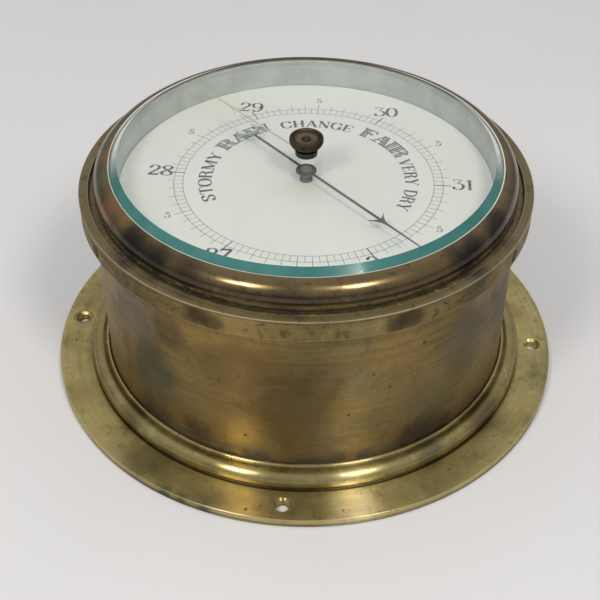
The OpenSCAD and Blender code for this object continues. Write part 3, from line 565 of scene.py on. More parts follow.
@dataclass(frozen=True)
class Layers:
    """Where a point of a finish lies and the noises there, from broad patches to fine specks."""
    here: Wire
    radius: Wire
    height: Wire
    patches: Wire
    clouds: Wire
    blotch: Wire
    streaks: Wire
    lines: Wire
    grain: Wire
    specks: Wire

    @classmethod
    def of(cls, tree: Tree) -> "Layers":
        """Adds the place and the noises to a material.

        Args:
            tree: the material's nodes.

        Returns:
            The layers. Streaks and lines run round the axis as turning marks do.
        """
        here = tree.place()
        radius, height = tree.polar(here)
        return cls(here, radius, height,
                   patches=tree.noise(here, 14.0, 2.0, 0.5, 0.6),
                   clouds=tree.noise(here, 26.0, 4.0, 0.6, 0.4),
                   blotch=tree.noise(here, 70.0, 3.0, 0.6, 0.8),
                   streaks=tree.noise(tree.turned(here, 1.6, 0.55), 1.0, 5.0, 0.62),
                   lines=tree.noise(tree.turned(here, 1.5, 2.4), 1.0, 3.0, 0.6),
                   grain=tree.noise(here, 210.0, 5.0, 0.68, 0.4),
                   specks=tree.noise(here, 520.0, 2.0, 0.7))


@dataclass(frozen=True)
class AgedBrass:
    """Old brass: golden metal under brown and olive tarnish, with turning marks and specks.

    Args:
        name: the finish's name.
        clean: the bare metal.
        brown: the tarnish that lies in clouds.
        olive: the greener tarnish that lies in broad patches.
        shine: roughness of the clean metal.
        brown_share: how far the brown spreads, from 0 to 1.
        olive_share: how far the olive spreads, from 0 to 1.
        brushing: strength of the turning marks.
        directional: how far the turning marks draw out a highlight.
        speck_share: how many dark specks there are.
        polish: the height above which it is smoother, and by how much.
        matte: the height below which it is less metallic, and by how much.
        lacquer: weight of a clear coat.
        mottle: strength of the fine light and dark grain.
        foot: the height of a darker band round the piece, how far it reaches up and down, and its
            strength.
        bands: tones between two heights.
        stains_and_light: ragged spots of another tone, some real staining and some painted highlights,
            reflections and shade.
        edges: thin lines round the axis.
        crust: the corroded band, where there is one.
        marks: small pits, each with its place, size and strength.
        scars: rings that screw heads have left, each with its place and radius.
    """
    name: str
    clean: Colour
    brown: Colour
    olive: Colour
    shine: float = 0.34
    brown_share: float = 0.5
    olive_share: float = 0.3
    brushing: float = 0.5
    directional: float = 0.0
    speck_share: float = 0.5
    polish: tuple[float, float] = (0.0, 0.0)
    matte: tuple[float, float] = (0.0, 0.0)
    lacquer: float = 0.0
    mottle: float = 0.3
    foot: tuple[float, float, float] = (0.0, 1.0, 0.0)
    bands: tuple[Band, ...] = ()
    stains_and_light: tuple[StainAndLight, ...] = ()
    edges: tuple[Edge, ...] = ()
    crust: Crust | None = None
    marks: tuple[tuple[float, float, float, float, float], ...] = ()
    scars: tuple[tuple[float, float, float, float], ...] = ()

    def _banded(self, tree: Tree, at: Layers, colour: Wire) -> Wire:
        """Lays the bands over a colour, with ragged borders.

        Args:
            tree: the material's nodes.
            at: the place and its noises.
            colour: the colour below.

        Returns:
            The colour with its bands.
        """
        for band in self.bands:
            ragged = at.height + (at.streaks * 0.5 + at.blotch * 0.5 - 0.5) * (band.soft * 2 * MM)
            inside = (ragged.beyond(band.low - band.soft, band.low + band.soft)
                      * ragged.within(band.high - band.soft, band.high + band.soft))
            colour = tree.mix(inside * band.amount, colour, band.shade)
        return colour

    def _mottled(self, tree: Tree, at: Layers, colour: Wire) -> Wire:
        """Lays the light and the dark grain over a colour.

        Args:
            tree: the material's nodes.
            at: the place and its noises.
            colour: the colour below.

        Returns:
            The colour with its grain.
        """
        light, dark = tone(self.clean, 1.5), tone(self.brown, 0.5)
        colour = tree.mix(at.grain.ramp(0.34, 0.45, self.mottle, 0.0), colour, light)
        return tree.mix(at.grain.ramp(0.54, 0.64, 0.0, self.mottle * 1.5), colour, dark)

    def _stained_and_lit(self, tree: Tree, at: Layers, colour: Wire) -> Wire:
        """Lays the spots of another tone over a colour, with borders that noise breaks up. Some are real
        staining, some painted light and shade.

        Args:
            tree: the material's nodes.
            at: the place and its noises.
            colour: the colour below.

        Returns:
            The colour with its spots.
        """
        for spot_tone in self.stains_and_light:
            ragged = ((at.blotch - 0.5) * 1.2 + (at.grain - 0.5) * 0.7) * (spot_tone.size * MM)
            reach = tree.distance(at.here, spot_tone.place) + ragged
            colour = tree.mix(reach.within(spot_tone.size * 0.3, spot_tone.size * 1.1, spot_tone.amount),
                              colour, spot_tone.shade)
        return colour

    def _dirt(self, tree: Tree, at: Layers) -> Wire:
        """How dark the specks, the darker band at the foot, the pits and the rings make each point.

        Args:
            tree: the material's nodes.
            at: the place and its noises.

        Returns:
            The dirt, from 0 to 1.
        """
        dirt = at.specks.ramp(0.74 - 0.11 * self.speck_share, 0.82 - 0.11 * self.speck_share)
        dirt = dirt * at.blotch.ramp(0.4, 0.6)
        level, depth, amount = self.foot
        if amount:
            gather = (at.height - level * MM).size().within(0.0, depth)
            dirt = dirt.most(gather * (at.blotch * 0.6 + at.streaks * 0.4).ramp(0.42, 0.62) * amount)
        for *place, size, amount in self.marks:
            dirt = dirt.most(tree.distance(at.here, place).within(size * 0.5, size, amount))
        for *place, radius in self.scars:
            ring = (tree.distance(at.here, place) - radius * MM).size()
            dirt = dirt.most(ring.within(0.12, 0.4, 0.7) * at.blotch.ramp(0.35, 0.55, 0.3, 1.0))
        return dirt

    def _crusted(self, tree: Tree, at: Layers, colour: Wire, dirt: Wire) -> tuple[Wire, Wire]:
        """Lays the crust over a colour and adds it to the dirt.

        Args:
            tree: the material's nodes.
            at: the place and its noises.
            colour: the colour below.
            dirt: the dirt so far.

        Returns:
            The colour and the dirt, both with the crust.
        """
        crust = self.crust
        if crust is None:
            return colour, dirt
        band = (at.height.beyond(crust.low - 0.3, crust.low + 0.3)
                * at.height.within(crust.high - 0.8, crust.high + 0.4)
                * at.radius.within(crust.reach, crust.reach + 0.8))
        ragged = tree.noise(tree.turned(at.here, 9.0, 0.5), 1.0, 5.0, 0.72).ramp(0.53, 0.60)
        flecks = tree.noise(at.here, 330.0, 3.0, 0.7).ramp(0.57, 0.66)
        colour = tree.mix(band * ragged * 0.92, colour, crust.black)
        colour = tree.mix(band * flecks * 0.65, colour, crust.bare)
        return colour, dirt.most(band * (ragged * 0.5 + 0.5))

    def _edged(self, tree: Tree, at: Layers, colour: Wire) -> tuple[Wire, Any]:
        """Draws the edge lines over a colour and says how much they dull the metal.

        Args:
            tree: the material's nodes.
            at: the place and its noises.
            colour: the colour below.

        Returns:
            The colour with its lines, and how much less metallic they are.
        """
        dull: Any = 0.0
        for edge in self.edges:
            off, up = at.radius - edge.radius * MM, at.height - edge.height * MM
            line = ((off * off + up * up) ** 0.5).within(edge.width * 0.4, edge.width, edge.amount)
            colour = tree.mix(line * at.streaks.ramp(0.3, 0.55, 0.4, 1.0), colour, edge.shade)
            if edge.dull:
                dull = (line * edge.dull).most(dull)
        return colour, dull

    def _roughness(self, at: Layers, tarnish: Wire, green: Wire, dirt: Wire) -> Wire:
        """The roughness: tarnish, marks and dirt add to it and polish takes from it.

        Args:
            at: the place and its noises.
            tarnish: how brown it is.
            green: how olive it is.
            dirt: how dirty it is.

        Returns:
            The roughness.
        """
        rough = tarnish * 0.14 + green * 0.12 + at.lines * 0.10 + dirt * 0.25 + (self.shine - 0.08)
        above, less = self.polish
        if less:
            rough = rough - at.height.beyond(above, above + 0.5) * less
        return rough.least(0.85).most(0.12)

    def _metallic(self, at: Layers, green: Wire, dirt: Wire, dull: Any) -> Wire:
        """How metallic it is: olive tarnish, dirt and dull edges take from it.

        Args:
            at: the place and its noises.
            green: how olive it is.
            dirt: how dirty it is.
            dull: how much the edges take away.

        Returns:
            The share of metal.
        """
        metal = 1.0 - green * 0.30 - dirt * 0.6 - dull
        below, less = self.matte
        if less:
            metal = metal - at.height.within(below, below + 0.5, less)
        return metal

    def material(self) -> bpy.types.Material:
        """Builds the material: layers of noise choose between metal and its tarnishes.

        Returns:
            The material.
        """
        tree = Tree(self.name)
        at = Layers.of(tree)
        tarnish = (at.clouds * 0.75 + at.streaks * 0.25).ramp(0.56 - 0.3 * self.brown_share,
                                                              0.86 - 0.3 * self.brown_share)
        green = (at.patches * 0.65 + at.blotch * 0.35).ramp(0.60 - 0.25 * self.olive_share,
                                                            0.84 - 0.25 * self.olive_share)
        colour = self._banded(tree, at, tree.mix(tarnish * 0.8, self.clean, self.brown))
        colour = self._mottled(tree, at, tree.mix(green * 0.75, colour, self.olive))
        colour = self._stained_and_lit(tree, at, colour)
        colour = tree.mix(at.lines.ramp(0.38, 0.66) * self.brushing * 0.6, colour,
                          tone(self.clean, 0.42))
        dirt = self._dirt(tree, at)
        colour = tree.mix(dirt, colour, tone(self.brown, 0.16, 0.006))
        colour, dirt = self._crusted(tree, at, colour, dirt)
        colour, dull = self._edged(tree, at, colour)
        relief = (at.lines * (0.35 * self.brushing) + at.specks * 0.12 - dirt * 0.35
                  + at.blotch * 0.25)
        shader = tree.node("ShaderNodeBsdfPrincipled", inputs={
            "Base Color": colour, "Roughness": self._roughness(at, tarnish, green, dirt),
            "Metallic": self._metallic(at, green, dirt, dull), "Normal": tree.bump(relief, 0.045),
            "Anisotropic": self.directional, "Anisotropic Rotation": 0.25,
            "Coat Weight": self.lacquer, "Coat Roughness": 0.11})
        return tree.surface(shader.outputs[0])


@dataclass(frozen=True)
class CleanMetal:
    """A plain machined or plated metal with light cloudiness and fine tool marks."""
    name: str
    colour: Colour
    dull: Colour
    shine: float = 0.3
    metallic: float = 1.0
    mark_scale: float = 900.0

    def material(self) -> bpy.types.Material:
        """Builds the material: two tones, their mix and the roughness follow noise.

        Returns:
            The material.
        """
        tree = Tree(self.name)
        here = tree.place()
        clouds = tree.noise(here, 120.0, 3.0)
        marks = tree.noise(here, self.mark_scale, 2.0, 0.6)
        colour = tree.mix(clouds.ramp(0.35, 0.7), self.colour, self.dull)
        shader = tree.node("ShaderNodeBsdfPrincipled", inputs={
            "Base Color": colour, "Metallic": self.metallic,
            "Roughness": clouds * 0.16 + marks * 0.08 + (self.shine - 0.1),
            "Normal": tree.bump(marks, 0.012)})
        return tree.surface(shader.outputs[0])


@dataclass(frozen=True)
class PointerSteel:
    """The pointer's dark greenish steel, pale within its reach round the crescent tail, where the pale is
    a painted reflection of the room.
    """
    name: str = "pointer_steel"
    dark: Colour = (0.085, 0.10, 0.095)
    dull: Colour = (0.14, 0.16, 0.15)
    pale: Colour = (0.62, 0.68, 0.65)
    tail: Place = (-27.5, 27.5, 82.3)
    reach: float = 4.5

    def material(self) -> bpy.types.Material:
        """Builds the material: the pale fades in towards the tail's middle.

        Returns:
            The material.
        """
        tree = Tree(self.name)
        here = tree.place()
        clouds = tree.noise(here, 150.0, 3.0)
        colour = tree.mix(clouds.ramp(0.35, 0.7), self.dark, self.dull)
        ragged = tree.distance(here, self.tail) + (clouds - 0.5) * (3.0 * MM)
        near = ragged.within(self.reach, self.reach + 4.0, 0.9)
        # Pale near the tail: on the pointer, a painted reflection of the room.
        colour = tree.mix(near, colour, self.pale)
        shader = tree.node("ShaderNodeBsdfPrincipled", inputs={
            "Base Color": colour, "Metallic": 1.0 - near * 0.4,
            "Roughness": clouds * 0.2 + 0.22, "Normal": tree.bump(clouds, 0.01)})
        return tree.surface(shader.outputs[0])


@dataclass(frozen=True)
class Enamel:
    """The dial's white enamel, slightly yellowed below the hub and at the upper left edge."""
    name: str = "dial_enamel"
    white: Colour = (0.745, 0.745, 0.705)
    shade: Colour = (0.66, 0.66, 0.615)
    yellow: Colour = (0.66, 0.62, 0.47)
    rim_dark: Colour = (0.16, 0.155, 0.13)
    fleck: Colour = (0.35, 0.34, 0.28)
    hub_stain: Place = (0.0, -6.0, 78.0)
    edge_stain: Place = (-44.0, 52.0, 78.0)
    rim_r: float = 70.8

    def material(self) -> bpy.types.Material:
        """Builds the material: the yellowing lies in soft spots that noise breaks up.

        Returns:
            The material.
        """
        tree = Tree(self.name)
        here = tree.place()
        clouds = tree.noise(here, 30.0, 4.0, 0.6)
        grain = tree.noise(here, 400.0, 2.0)
        colour = tree.mix(clouds.ramp(0.4, 0.75) * 0.5, self.white, self.shade)
        hub = tree.distance(here, self.hub_stain).within(0.0, 13.0)
        edge = tree.distance(here, self.edge_stain).within(6.0, 30.0)
        spot_tone = (hub * 0.5).most(edge * 0.45) * clouds.ramp(0.3, 0.6, 0.5, 1.0)
        colour = tree.mix(spot_tone, colour, self.yellow)
        radius, _ = tree.polar(here)
        # A darker ring round the dial's edge, against the sleeve.
        colour = tree.mix(radius.beyond(self.rim_r, self.rim_r + 0.4) * 0.6, colour, self.rim_dark)
        colour = tree.mix(grain.ramp(0.74, 0.82) * 0.25, colour, self.fleck)
        shader = tree.node("ShaderNodeBsdfPrincipled", inputs={
            "Base Color": colour, "Roughness": clouds * 0.1 + 0.38, "Coat Weight": 0.25,
            "Coat Roughness": 0.15, "Normal": tree.bump(grain, 0.01)})
        return tree.surface(shader.outputs[0])


@dataclass(frozen=True)
class Ink:
    """Printed black, a little thin where the dial has been cleaned."""
    name: str = "dial_ink"
    black: Colour = (0.065, 0.068, 0.068)
    thin: Colour = (0.17, 0.175, 0.17)

    def material(self) -> bpy.types.Material:
        """Builds the material: noise thins the black.

        Returns:
            The material.
        """
        tree = Tree(self.name)
        wear = tree.noise(tree.place(), 260.0, 3.0, 0.6)
        colour = tree.mix(wear.ramp(0.45, 0.72), self.black, self.thin)
        shader = tree.node("ShaderNodeBsdfPrincipled", inputs={
            "Base Color": colour, "Roughness": wear * 0.2 + 0.45})
        return tree.surface(shader.outputs[0])


@dataclass(frozen=True)
class Glass:
    """Thick plate glass. Light that only passes on its way to the dial goes straight through."""
    name: str = "plate_glass"
    tint: Colour = (0.978, 0.988, 0.976)
    teal: Colour | None = None

    def material(self) -> bpy.types.Material:
        """Builds the material.

        Returns:
            The material. With a teal it is the bevel's, which shows its own green where it
            faces the eye and goes clear where it is seen along its face.
        """
        tree = Tree(self.name)
        smear = tree.noise(tree.place(), 40.0, 3.0)
        glass = tree.node("ShaderNodeBsdfPrincipled", inputs={
            "Base Color": self.tint, "Roughness": smear.ramp(0.5, 0.8) * 0.03,
            "IOR": 1.5, "Transmission Weight": 1.0})
        clear = tree.node("ShaderNodeBsdfTransparent", inputs={"Color": self.tint})
        rays = tree.node("ShaderNodeLightPath")
        passing = Wire(tree, rays.outputs["Is Shadow Ray"]).most(
            Wire(tree, rays.outputs["Is Diffuse Ray"]))
        body = glass
        if self.teal is not None:
            edge = tree.node("ShaderNodeBsdfPrincipled", inputs={
                "Base Color": tree.mix(smear.ramp(0.35, 0.7), self.teal,
                                       tone(self.teal, 1.25, 0.02)),
                "Roughness": 0.12, "IOR": 1.5, "Coat Weight": 0.3})
            away = tree.wire("ShaderNodeLayerWeight", inputs={"Blend": 0.5}, output="Facing")
            body = tree.node("ShaderNodeMixShader", inputs={
                0: away.ramp(0.50, 0.72), 1: Wire(tree, edge.outputs[0]),
                2: Wire(tree, glass.outputs[0])})
        both = tree.node("ShaderNodeMixShader", inputs={
            0: passing, 1: Wire(tree, body.outputs[0]), 2: Wire(tree, clear.outputs[0])})
        return tree.surface(both.outputs[0])


WORN = (0.62, 0.52, 0.27)
UMBER = (0.055, 0.036, 0.02)
GREEN_BLACK = (0.04, 0.05, 0.045)
# Near-black of the painted dark reflections on the bezel's roll.
DARK_REFLECTION = (0.016, 0.013, 0.010)
# Near-black for the knob's dish: dark patina with painted shade, and the boss's painted shadow.
SHADE_AND_PATINA = (0.012, 0.009, 0.007)
FLANGE_BRASS = AgedBrass(
    "flange_brass", clean=(0.60, 0.485, 0.205), brown=(0.30, 0.215, 0.085),
    olive=(0.33, 0.305, 0.14), shine=0.33, brown_share=0.36, olive_share=0.55, brushing=0.35,
    directional=0.95, speck_share=0.8, polish=(3.7, 0.09), mottle=0.22,
    bands=(Band(4.2, 12.0, 0.4, (0.36, 0.29, 0.12), 0.8),),
    edges=(Edge(102.3, 0.4, 1.7, (0.07, 0.078, 0.062), 0.7),
           Edge(102.3, 3.5, 0.42, WORN, 0.8),
           Edge(88.9, 3.5, 0.3, WORN, 0.5),
           Edge(82.0, 10.5, 0.4, WORN, 0.5),
           Edge(88.2, 3.0, 0.8, UMBER, 0.85),
           Edge(86.8, 3.2, 0.5, UMBER, 0.85),
           Edge(83.0, 9.2, 0.35, UMBER, 0.6),
           Edge(81.2, 10.2, 0.7, UMBER, 0.7)),
    stains_and_light=(StainAndLight((-30.0, -98.0, 3.5), 9.0, (0.14, 0.135, 0.08), 0.5),
            # A bright patch where the right lamp's highlight falls on the flange: a painted highlight.
            StainAndLight((26.0, -92.5, 3.5), 12.0, (0.95, 0.83, 0.48), 0.9),
            # A duller patch over the left lamp's highlight on the flange: painted shade that dims it.
            StainAndLight((-19.0, -94.0, 3.5), 9.0, (0.30, 0.24, 0.10), 0.5),
            StainAndLight((-74.0, -43.0, 8.0), 14.0, (0.20, 0.16, 0.08), 0.2),
            # Dark green-black spots low on the left of the flange's rim.
            StainAndLight((-44.0, -92.3, 1.0), 3.6, GREEN_BLACK, 0.8),
            StainAndLight((-37.0, -95.4, 1.2), 4.0, GREEN_BLACK, 0.8),
            StainAndLight((-28.5, -98.2, 1.0), 3.8, GREEN_BLACK, 0.8),
            StainAndLight((-52.0, -80.0, 3.5), 13.0, (0.17, 0.145, 0.07), 0.55),
            StainAndLight((-60.0, -61.0, 8.0), 9.0, (0.10, 0.085, 0.05), 0.6),
            StainAndLight((52.0, -68.0, 8.0), 8.0, (0.11, 0.12, 0.07), 0.6),
            StainAndLight((85.0, 20.0, 5.0), 10.0, (0.34, 0.19, 0.08), 0.55),
            StainAndLight((72.0, -46.0, 8.5), 15.0, (0.13, 0.095, 0.05), 0.7),
            StainAndLight((0.0, -84.0, 9.5), 22.0, (0.28, 0.24, 0.11), 0.4),
            StainAndLight((-86.0, -45.0, 3.5), 9.0, (0.33, 0.23, 0.09), 0.5)),
    marks=((-13.0, -98.6, 3.5, 0.9, 0.9), (-8.0, -96.5, 3.5, 0.6, 0.8), (60.0, -73.0, 3.5, 0.9, 0.8),
           (22.0, -96.0, 3.5, 0.7, 0.8), (-38.0, -86.5, 3.5, 1.0, 0.6), (86.0, 38.0, 3.5, 1.4, 0.6)),
    scars=((0.0, -95.3, 3.5, 3.8), (-95.3, 0.0, 3.5, 3.9)))
DRUM_BRASS = AgedBrass(
    "drum_brass", clean=(0.32, 0.215, 0.074), brown=(0.105, 0.064, 0.027),
    olive=(0.135, 0.13, 0.072), shine=0.35, brown_share=0.46, olive_share=0.5, brushing=0.55,
    directional=0.95, speck_share=0.75, mottle=0.14, foot=(11.5, 7.0, 0.8),
    # A darker band just below the collar: painted shadow of the collar's overhang.
    bands=(Band(71.6, 74.8, 0.5, (0.075, 0.046, 0.022), 0.7),),
    stains_and_light=(StainAndLight((52.0, -62.0, 14.0), 15.0, (0.05, 0.04, 0.022), 0.7),
            # The darker right flank of the drum: painted shade.
            StainAndLight((79.0, -20.0, 50.0), 24.0, (0.075, 0.058, 0.03), 0.85),
            # A duller patch over the left lamp's highlight on the drum, above its middle: painted shade
            # that dims it.
            StainAndLight((-17.0, -79.0, 50.0), 22.0, (0.15, 0.10, 0.042), 0.6),
            StainAndLight((-46.0, -66.7, 36.0), 7.0, (0.07, 0.07, 0.062), 0.6),
            StainAndLight((-58.0, -56.5, 58.0), 17.0, (0.20, 0.18, 0.135), 0.7),
            StainAndLight((-79.0, -17.0, 42.0), 17.0, (0.24, 0.215, 0.14), 0.7),
            StainAndLight((-50.0, -64.0, 34.0), 16.0, (0.10, 0.11, 0.062), 0.8),
            StainAndLight((-41.0, -70.0, 60.0), 9.0, (0.06, 0.048, 0.032), 0.6),
            StainAndLight((-33.0, -74.0, 17.0), 8.0, (0.06, 0.046, 0.028), 0.6),
            StainAndLight((64.0, -50.0, 52.0), 18.0, (0.15, 0.135, 0.095), 0.65),
            StainAndLight((50.0, -64.0, 30.0), 14.0, (0.13, 0.13, 0.075), 0.55),
            # A dark brown patch at the front, between the lamps' highlights: a painted reflection of the
            # dark room in front.
            StainAndLight((2.0, -81.0, 40.0), 22.0, (0.085, 0.052, 0.024), 0.6),
            StainAndLight((46.0, -67.0, 13.0), 13.0, (0.06, 0.045, 0.027), 0.75),
            StainAndLight((-52.0, -62.0, 12.0), 12.0, (0.07, 0.05, 0.03), 0.6)),
    marks=((22.0, -78.0, 34.0, 0.8, 0.9), (47.0, -66.0, 60.0, 1.0, 0.8), (30.0, -75.2, 52.0, 0.8, 0.8),
           (-15.0, -79.6, 22.0, 0.9, 0.8), (36.0, -72.6, 44.0, 0.7, 0.8), (-24.0, -77.4, 47.0, 0.8, 0.7)))
COLLAR_BRASS = AgedBrass(
    "collar_brass", clean=(0.285, 0.205, 0.076), brown=(0.13, 0.092, 0.045),
    olive=(0.16, 0.14, 0.07), shine=0.46, brown_share=0.5, olive_share=0.45, brushing=0.35,
    directional=0.9, speck_share=1.0, mottle=0.4,
    edges=(Edge(85.6, 74.4, 0.35, WORN, 0.45),),
    # The four dark patches left and right on the collar are painted dark reflections.
    stains_and_light=(StainAndLight((-30.5, -80.0, 79.0), 6.5, UMBER, 0.85), StainAndLight((-24.5, -82.0, 77.0), 5.0, UMBER, 0.7),
            StainAndLight((41.0, -75.2, 78.8), 6.5, UMBER, 0.8), StainAndLight((36.5, -77.4, 77.4), 4.5, UMBER, 0.7),
            StainAndLight((62.0, -59.0, 78.0), 9.0, (0.12, 0.115, 0.075), 0.5)))
BEZEL_BRASS = AgedBrass(
    "bezel_brass", clean=(0.17, 0.118, 0.05), brown=(0.082, 0.054, 0.024), olive=(0.11, 0.098, 0.046),
    shine=0.52, brown_share=0.5, olive_share=0.35, brushing=0.12, speck_share=0.7,
    polish=(84.9, 0.29), matte=(84.6, 0.42), lacquer=0.4, mottle=0.35,
    # The first four bands are painted reflections on the roll: pale at the top for the bright room
    # behind, beige for the lit room overhead, dark for the dark room in front, and golden below for the
    # pale ledge and floor.
    bands=(Band(91.5, 99.0, 0.5, (0.25, 0.175, 0.08), 0.5),
           Band(88.3, 89.8, 0.6, (0.23, 0.165, 0.075), 0.55),
           Band(85.6, 88.0, 0.7, (0.06, 0.041, 0.024), 0.8),
           Band(82.9, 85.2, 0.4, (0.27, 0.215, 0.095), 0.85),
           Band(80.0, 82.9, 0.2, (0.165, 0.125, 0.05), 0.85)),
    # Near-black patches on the left of the roll: painted dark reflections.
    stains_and_light=(StainAndLight((-56.0, -56.0, 87.8), 11.0, DARK_REFLECTION, 0.95),
            StainAndLight((-46.0, -64.5, 87.8), 9.0, DARK_REFLECTION, 0.9),
            StainAndLight((-33.0, -71.5, 88.0), 9.0, (0.04, 0.034, 0.02), 0.6),
            StainAndLight((-66.2, -39.7, 90.5), 8.0, (0.30, 0.15, 0.045), 0.75),
            StainAndLight((-72.2, -23.8, 91.4), 7.0, (0.14, 0.165, 0.06), 0.7),
            StainAndLight((-60.0, -47.5, 91.0), 6.0, (0.30, 0.20, 0.05), 0.6),
            StainAndLight((-75.5, -8.0, 90.0), 8.0, (0.27, 0.15, 0.05), 0.6),
            # Near-black patches on the right of the roll: painted dark reflections.
            StainAndLight((60.0, -51.6, 88.0), 11.0, (0.018, 0.014, 0.010), 0.95),
            StainAndLight((70.0, -36.0, 88.5), 10.0, (0.022, 0.017, 0.012), 0.9),
            StainAndLight((-36.0, -70.0, 87.0), 8.0, (0.06, 0.042, 0.022), 0.6),
            StainAndLight((0.0, -79.5, 87.5), 9.0, (0.055, 0.04, 0.025), 0.5)),
    edges=(Edge(85.7, 82.7, 0.4, WORN, 0.42),
           Edge(82.2, 82.8, 0.45, (0.60, 0.51, 0.36), 0.4, 0.1),
           # A dark line in the groove below the roll: painted shade.
           Edge(79.2, 81.1, 0.7, (0.02, 0.014, 0.009), 0.85),
           # A pale line round the lip against the glass: a painted highlight of the edge catching the
           # light.
           Edge(73.6, 91.95, 0.6, (0.88, 0.86, 0.74), 1.0, 0.9),
           Edge(85.7, 81.75, 0.4, (0.03, 0.02, 0.012), 0.9)),
    crust=Crust(80.9, 84.6, 81.2, (0.03, 0.021, 0.013), (0.40, 0.32, 0.14)),
    marks=((6.35, -75.99, 91.45, 0.5, 1.0), (7.42, -75.89, 91.45, 0.5, 1.0)))
KNOB_BRASS = AgedBrass(
    "knob_brass", clean=(0.105, 0.078, 0.05), brown=(0.032, 0.022, 0.016), olive=(0.045, 0.036, 0.026),
    shine=0.42, brown_share=0.8, olive_share=0.3, brushing=0.6, speck_share=0.9,
    bands=(Band(93.0, 97.6, 0.5, (0.032, 0.028, 0.022), 0.7),),
    edges=(Edge(5.9, 99.5, 0.5, (0.075, 0.058, 0.04), 0.5),
           # A dark ring on the dish's inner wall below the rim: dark patina with painted shade.
           Edge(5.2, 98.7, 0.5, SHADE_AND_PATINA, 0.85),
           # A lighter ring on the dish's floor: a painted reflection of the light in the hollow.
           Edge(3.0, 98.4, 1.5, (0.24, 0.195, 0.135), 0.75),
           # A dark ring round the boss: its painted shadow.
           Edge(1.5, 98.4, 0.35, SHADE_AND_PATINA, 0.9)))
PLATE_BRASS = AgedBrass(
    "plate_brass", clean=(0.45, 0.34, 0.15), brown=(0.22, 0.15, 0.065), olive=(0.24, 0.21, 0.10),
    shine=0.42, speck_share=0.8)
BUSH = CleanMetal("bush_bronze", (0.030, 0.040, 0.033), (0.016, 0.021, 0.018), 0.45)
BRIGHT_BRASS = CleanMetal("bright_brass", (0.62, 0.46, 0.19), (0.48, 0.35, 0.15), 0.28)
STEEL = CleanMetal("steel", (0.36, 0.37, 0.38), (0.24, 0.25, 0.26), 0.32)
BLUED_STEEL = CleanMetal("blued_steel", (0.10, 0.125, 0.15), (0.17, 0.19, 0.20), 0.3)
SILVERED = CleanMetal("silvered", (0.485, 0.51, 0.485), (0.40, 0.425, 0.405), 0.5, 0.55)
PALE_HAND = CleanMetal("pale_hand", (0.60, 0.59, 0.54), (0.52, 0.50, 0.44), 0.5, 0.35)
DARK_BUSH = CleanMetal("dark_bush", (0.11, 0.115, 0.115), (0.07, 0.075, 0.075), 0.35)
COLLET_STEEL = PointerSteel("collet_steel", (0.12, 0.125, 0.115), (0.20, 0.195, 0.17),
                            (0.36, 0.27, 0.13), (0.0, 0.0, 82.9), 0.8)
BEVEL_GLASS = Glass("bevel_glass", teal=(0.016, 0.128, 0.112))
GROUND_GLASS = Glass("ground_glass", (0.62, 0.78, 0.74), (0.16, 0.26, 0.24))


# Lettering

class Nib(Enum):
    """How wide a stroke is drawn."""
    THICK = "thick"
    THIN = "thin"
    PEN = "pen"


@dataclass(frozen=True)
class Stroke:
    """One stroke of a letter in units of its height, with the radius of a dot at its start."""
    nib: Nib
    points: tuple[Point, ...]
    dot: float = 0.0


@dataclass(frozen=True)
class Letter:
    """A letter's strokes and the width it takes on the line."""
    width: float
    strokes: tuple[Stroke, ...]


def stem(x: float, low: float = 0.0, high: float = 1.0, foot: bool = True, head: bool = True,
         nib: Nib = Nib.THICK, wide: float = 0.13) -> tuple[Stroke, ...]:
    """An upright stroke with thin serifs at its ends.

    Args:
        x: where it stands across the letter.
        low: the height of its foot.
        high: the height of its head.
        foot: whether the foot has a serif.
        head: whether the head has a serif.
        nib: how wide it is drawn.
        wide: how far a serif reaches to each side.

    Returns:
        The strokes.
    """
    strokes = [Stroke(nib, ((x, low), (x, high)))]
    if foot:
        strokes.append(Stroke(Nib.THIN, ((x - wide, low + 0.02), (x + wide, low + 0.02))))
    if head:
        strokes.append(Stroke(Nib.THIN, ((x - wide, high - 0.02), (x + wide, high - 0.02))))
    return tuple(strokes)


def pen(*points: Point, dot: float = 0.0) -> tuple[Stroke, ...]:
    """A curved stroke whose width follows its direction."""
    return (Stroke(Nib.PEN, points, dot),)


def hair(*points: Point) -> tuple[Stroke, ...]:
    """A thin stroke."""
    return (Stroke(Nib.THIN, points),)


def bar(*points: Point) -> tuple[Stroke, ...]:
    """A thick stroke."""
    return (Stroke(Nib.THICK, points),)


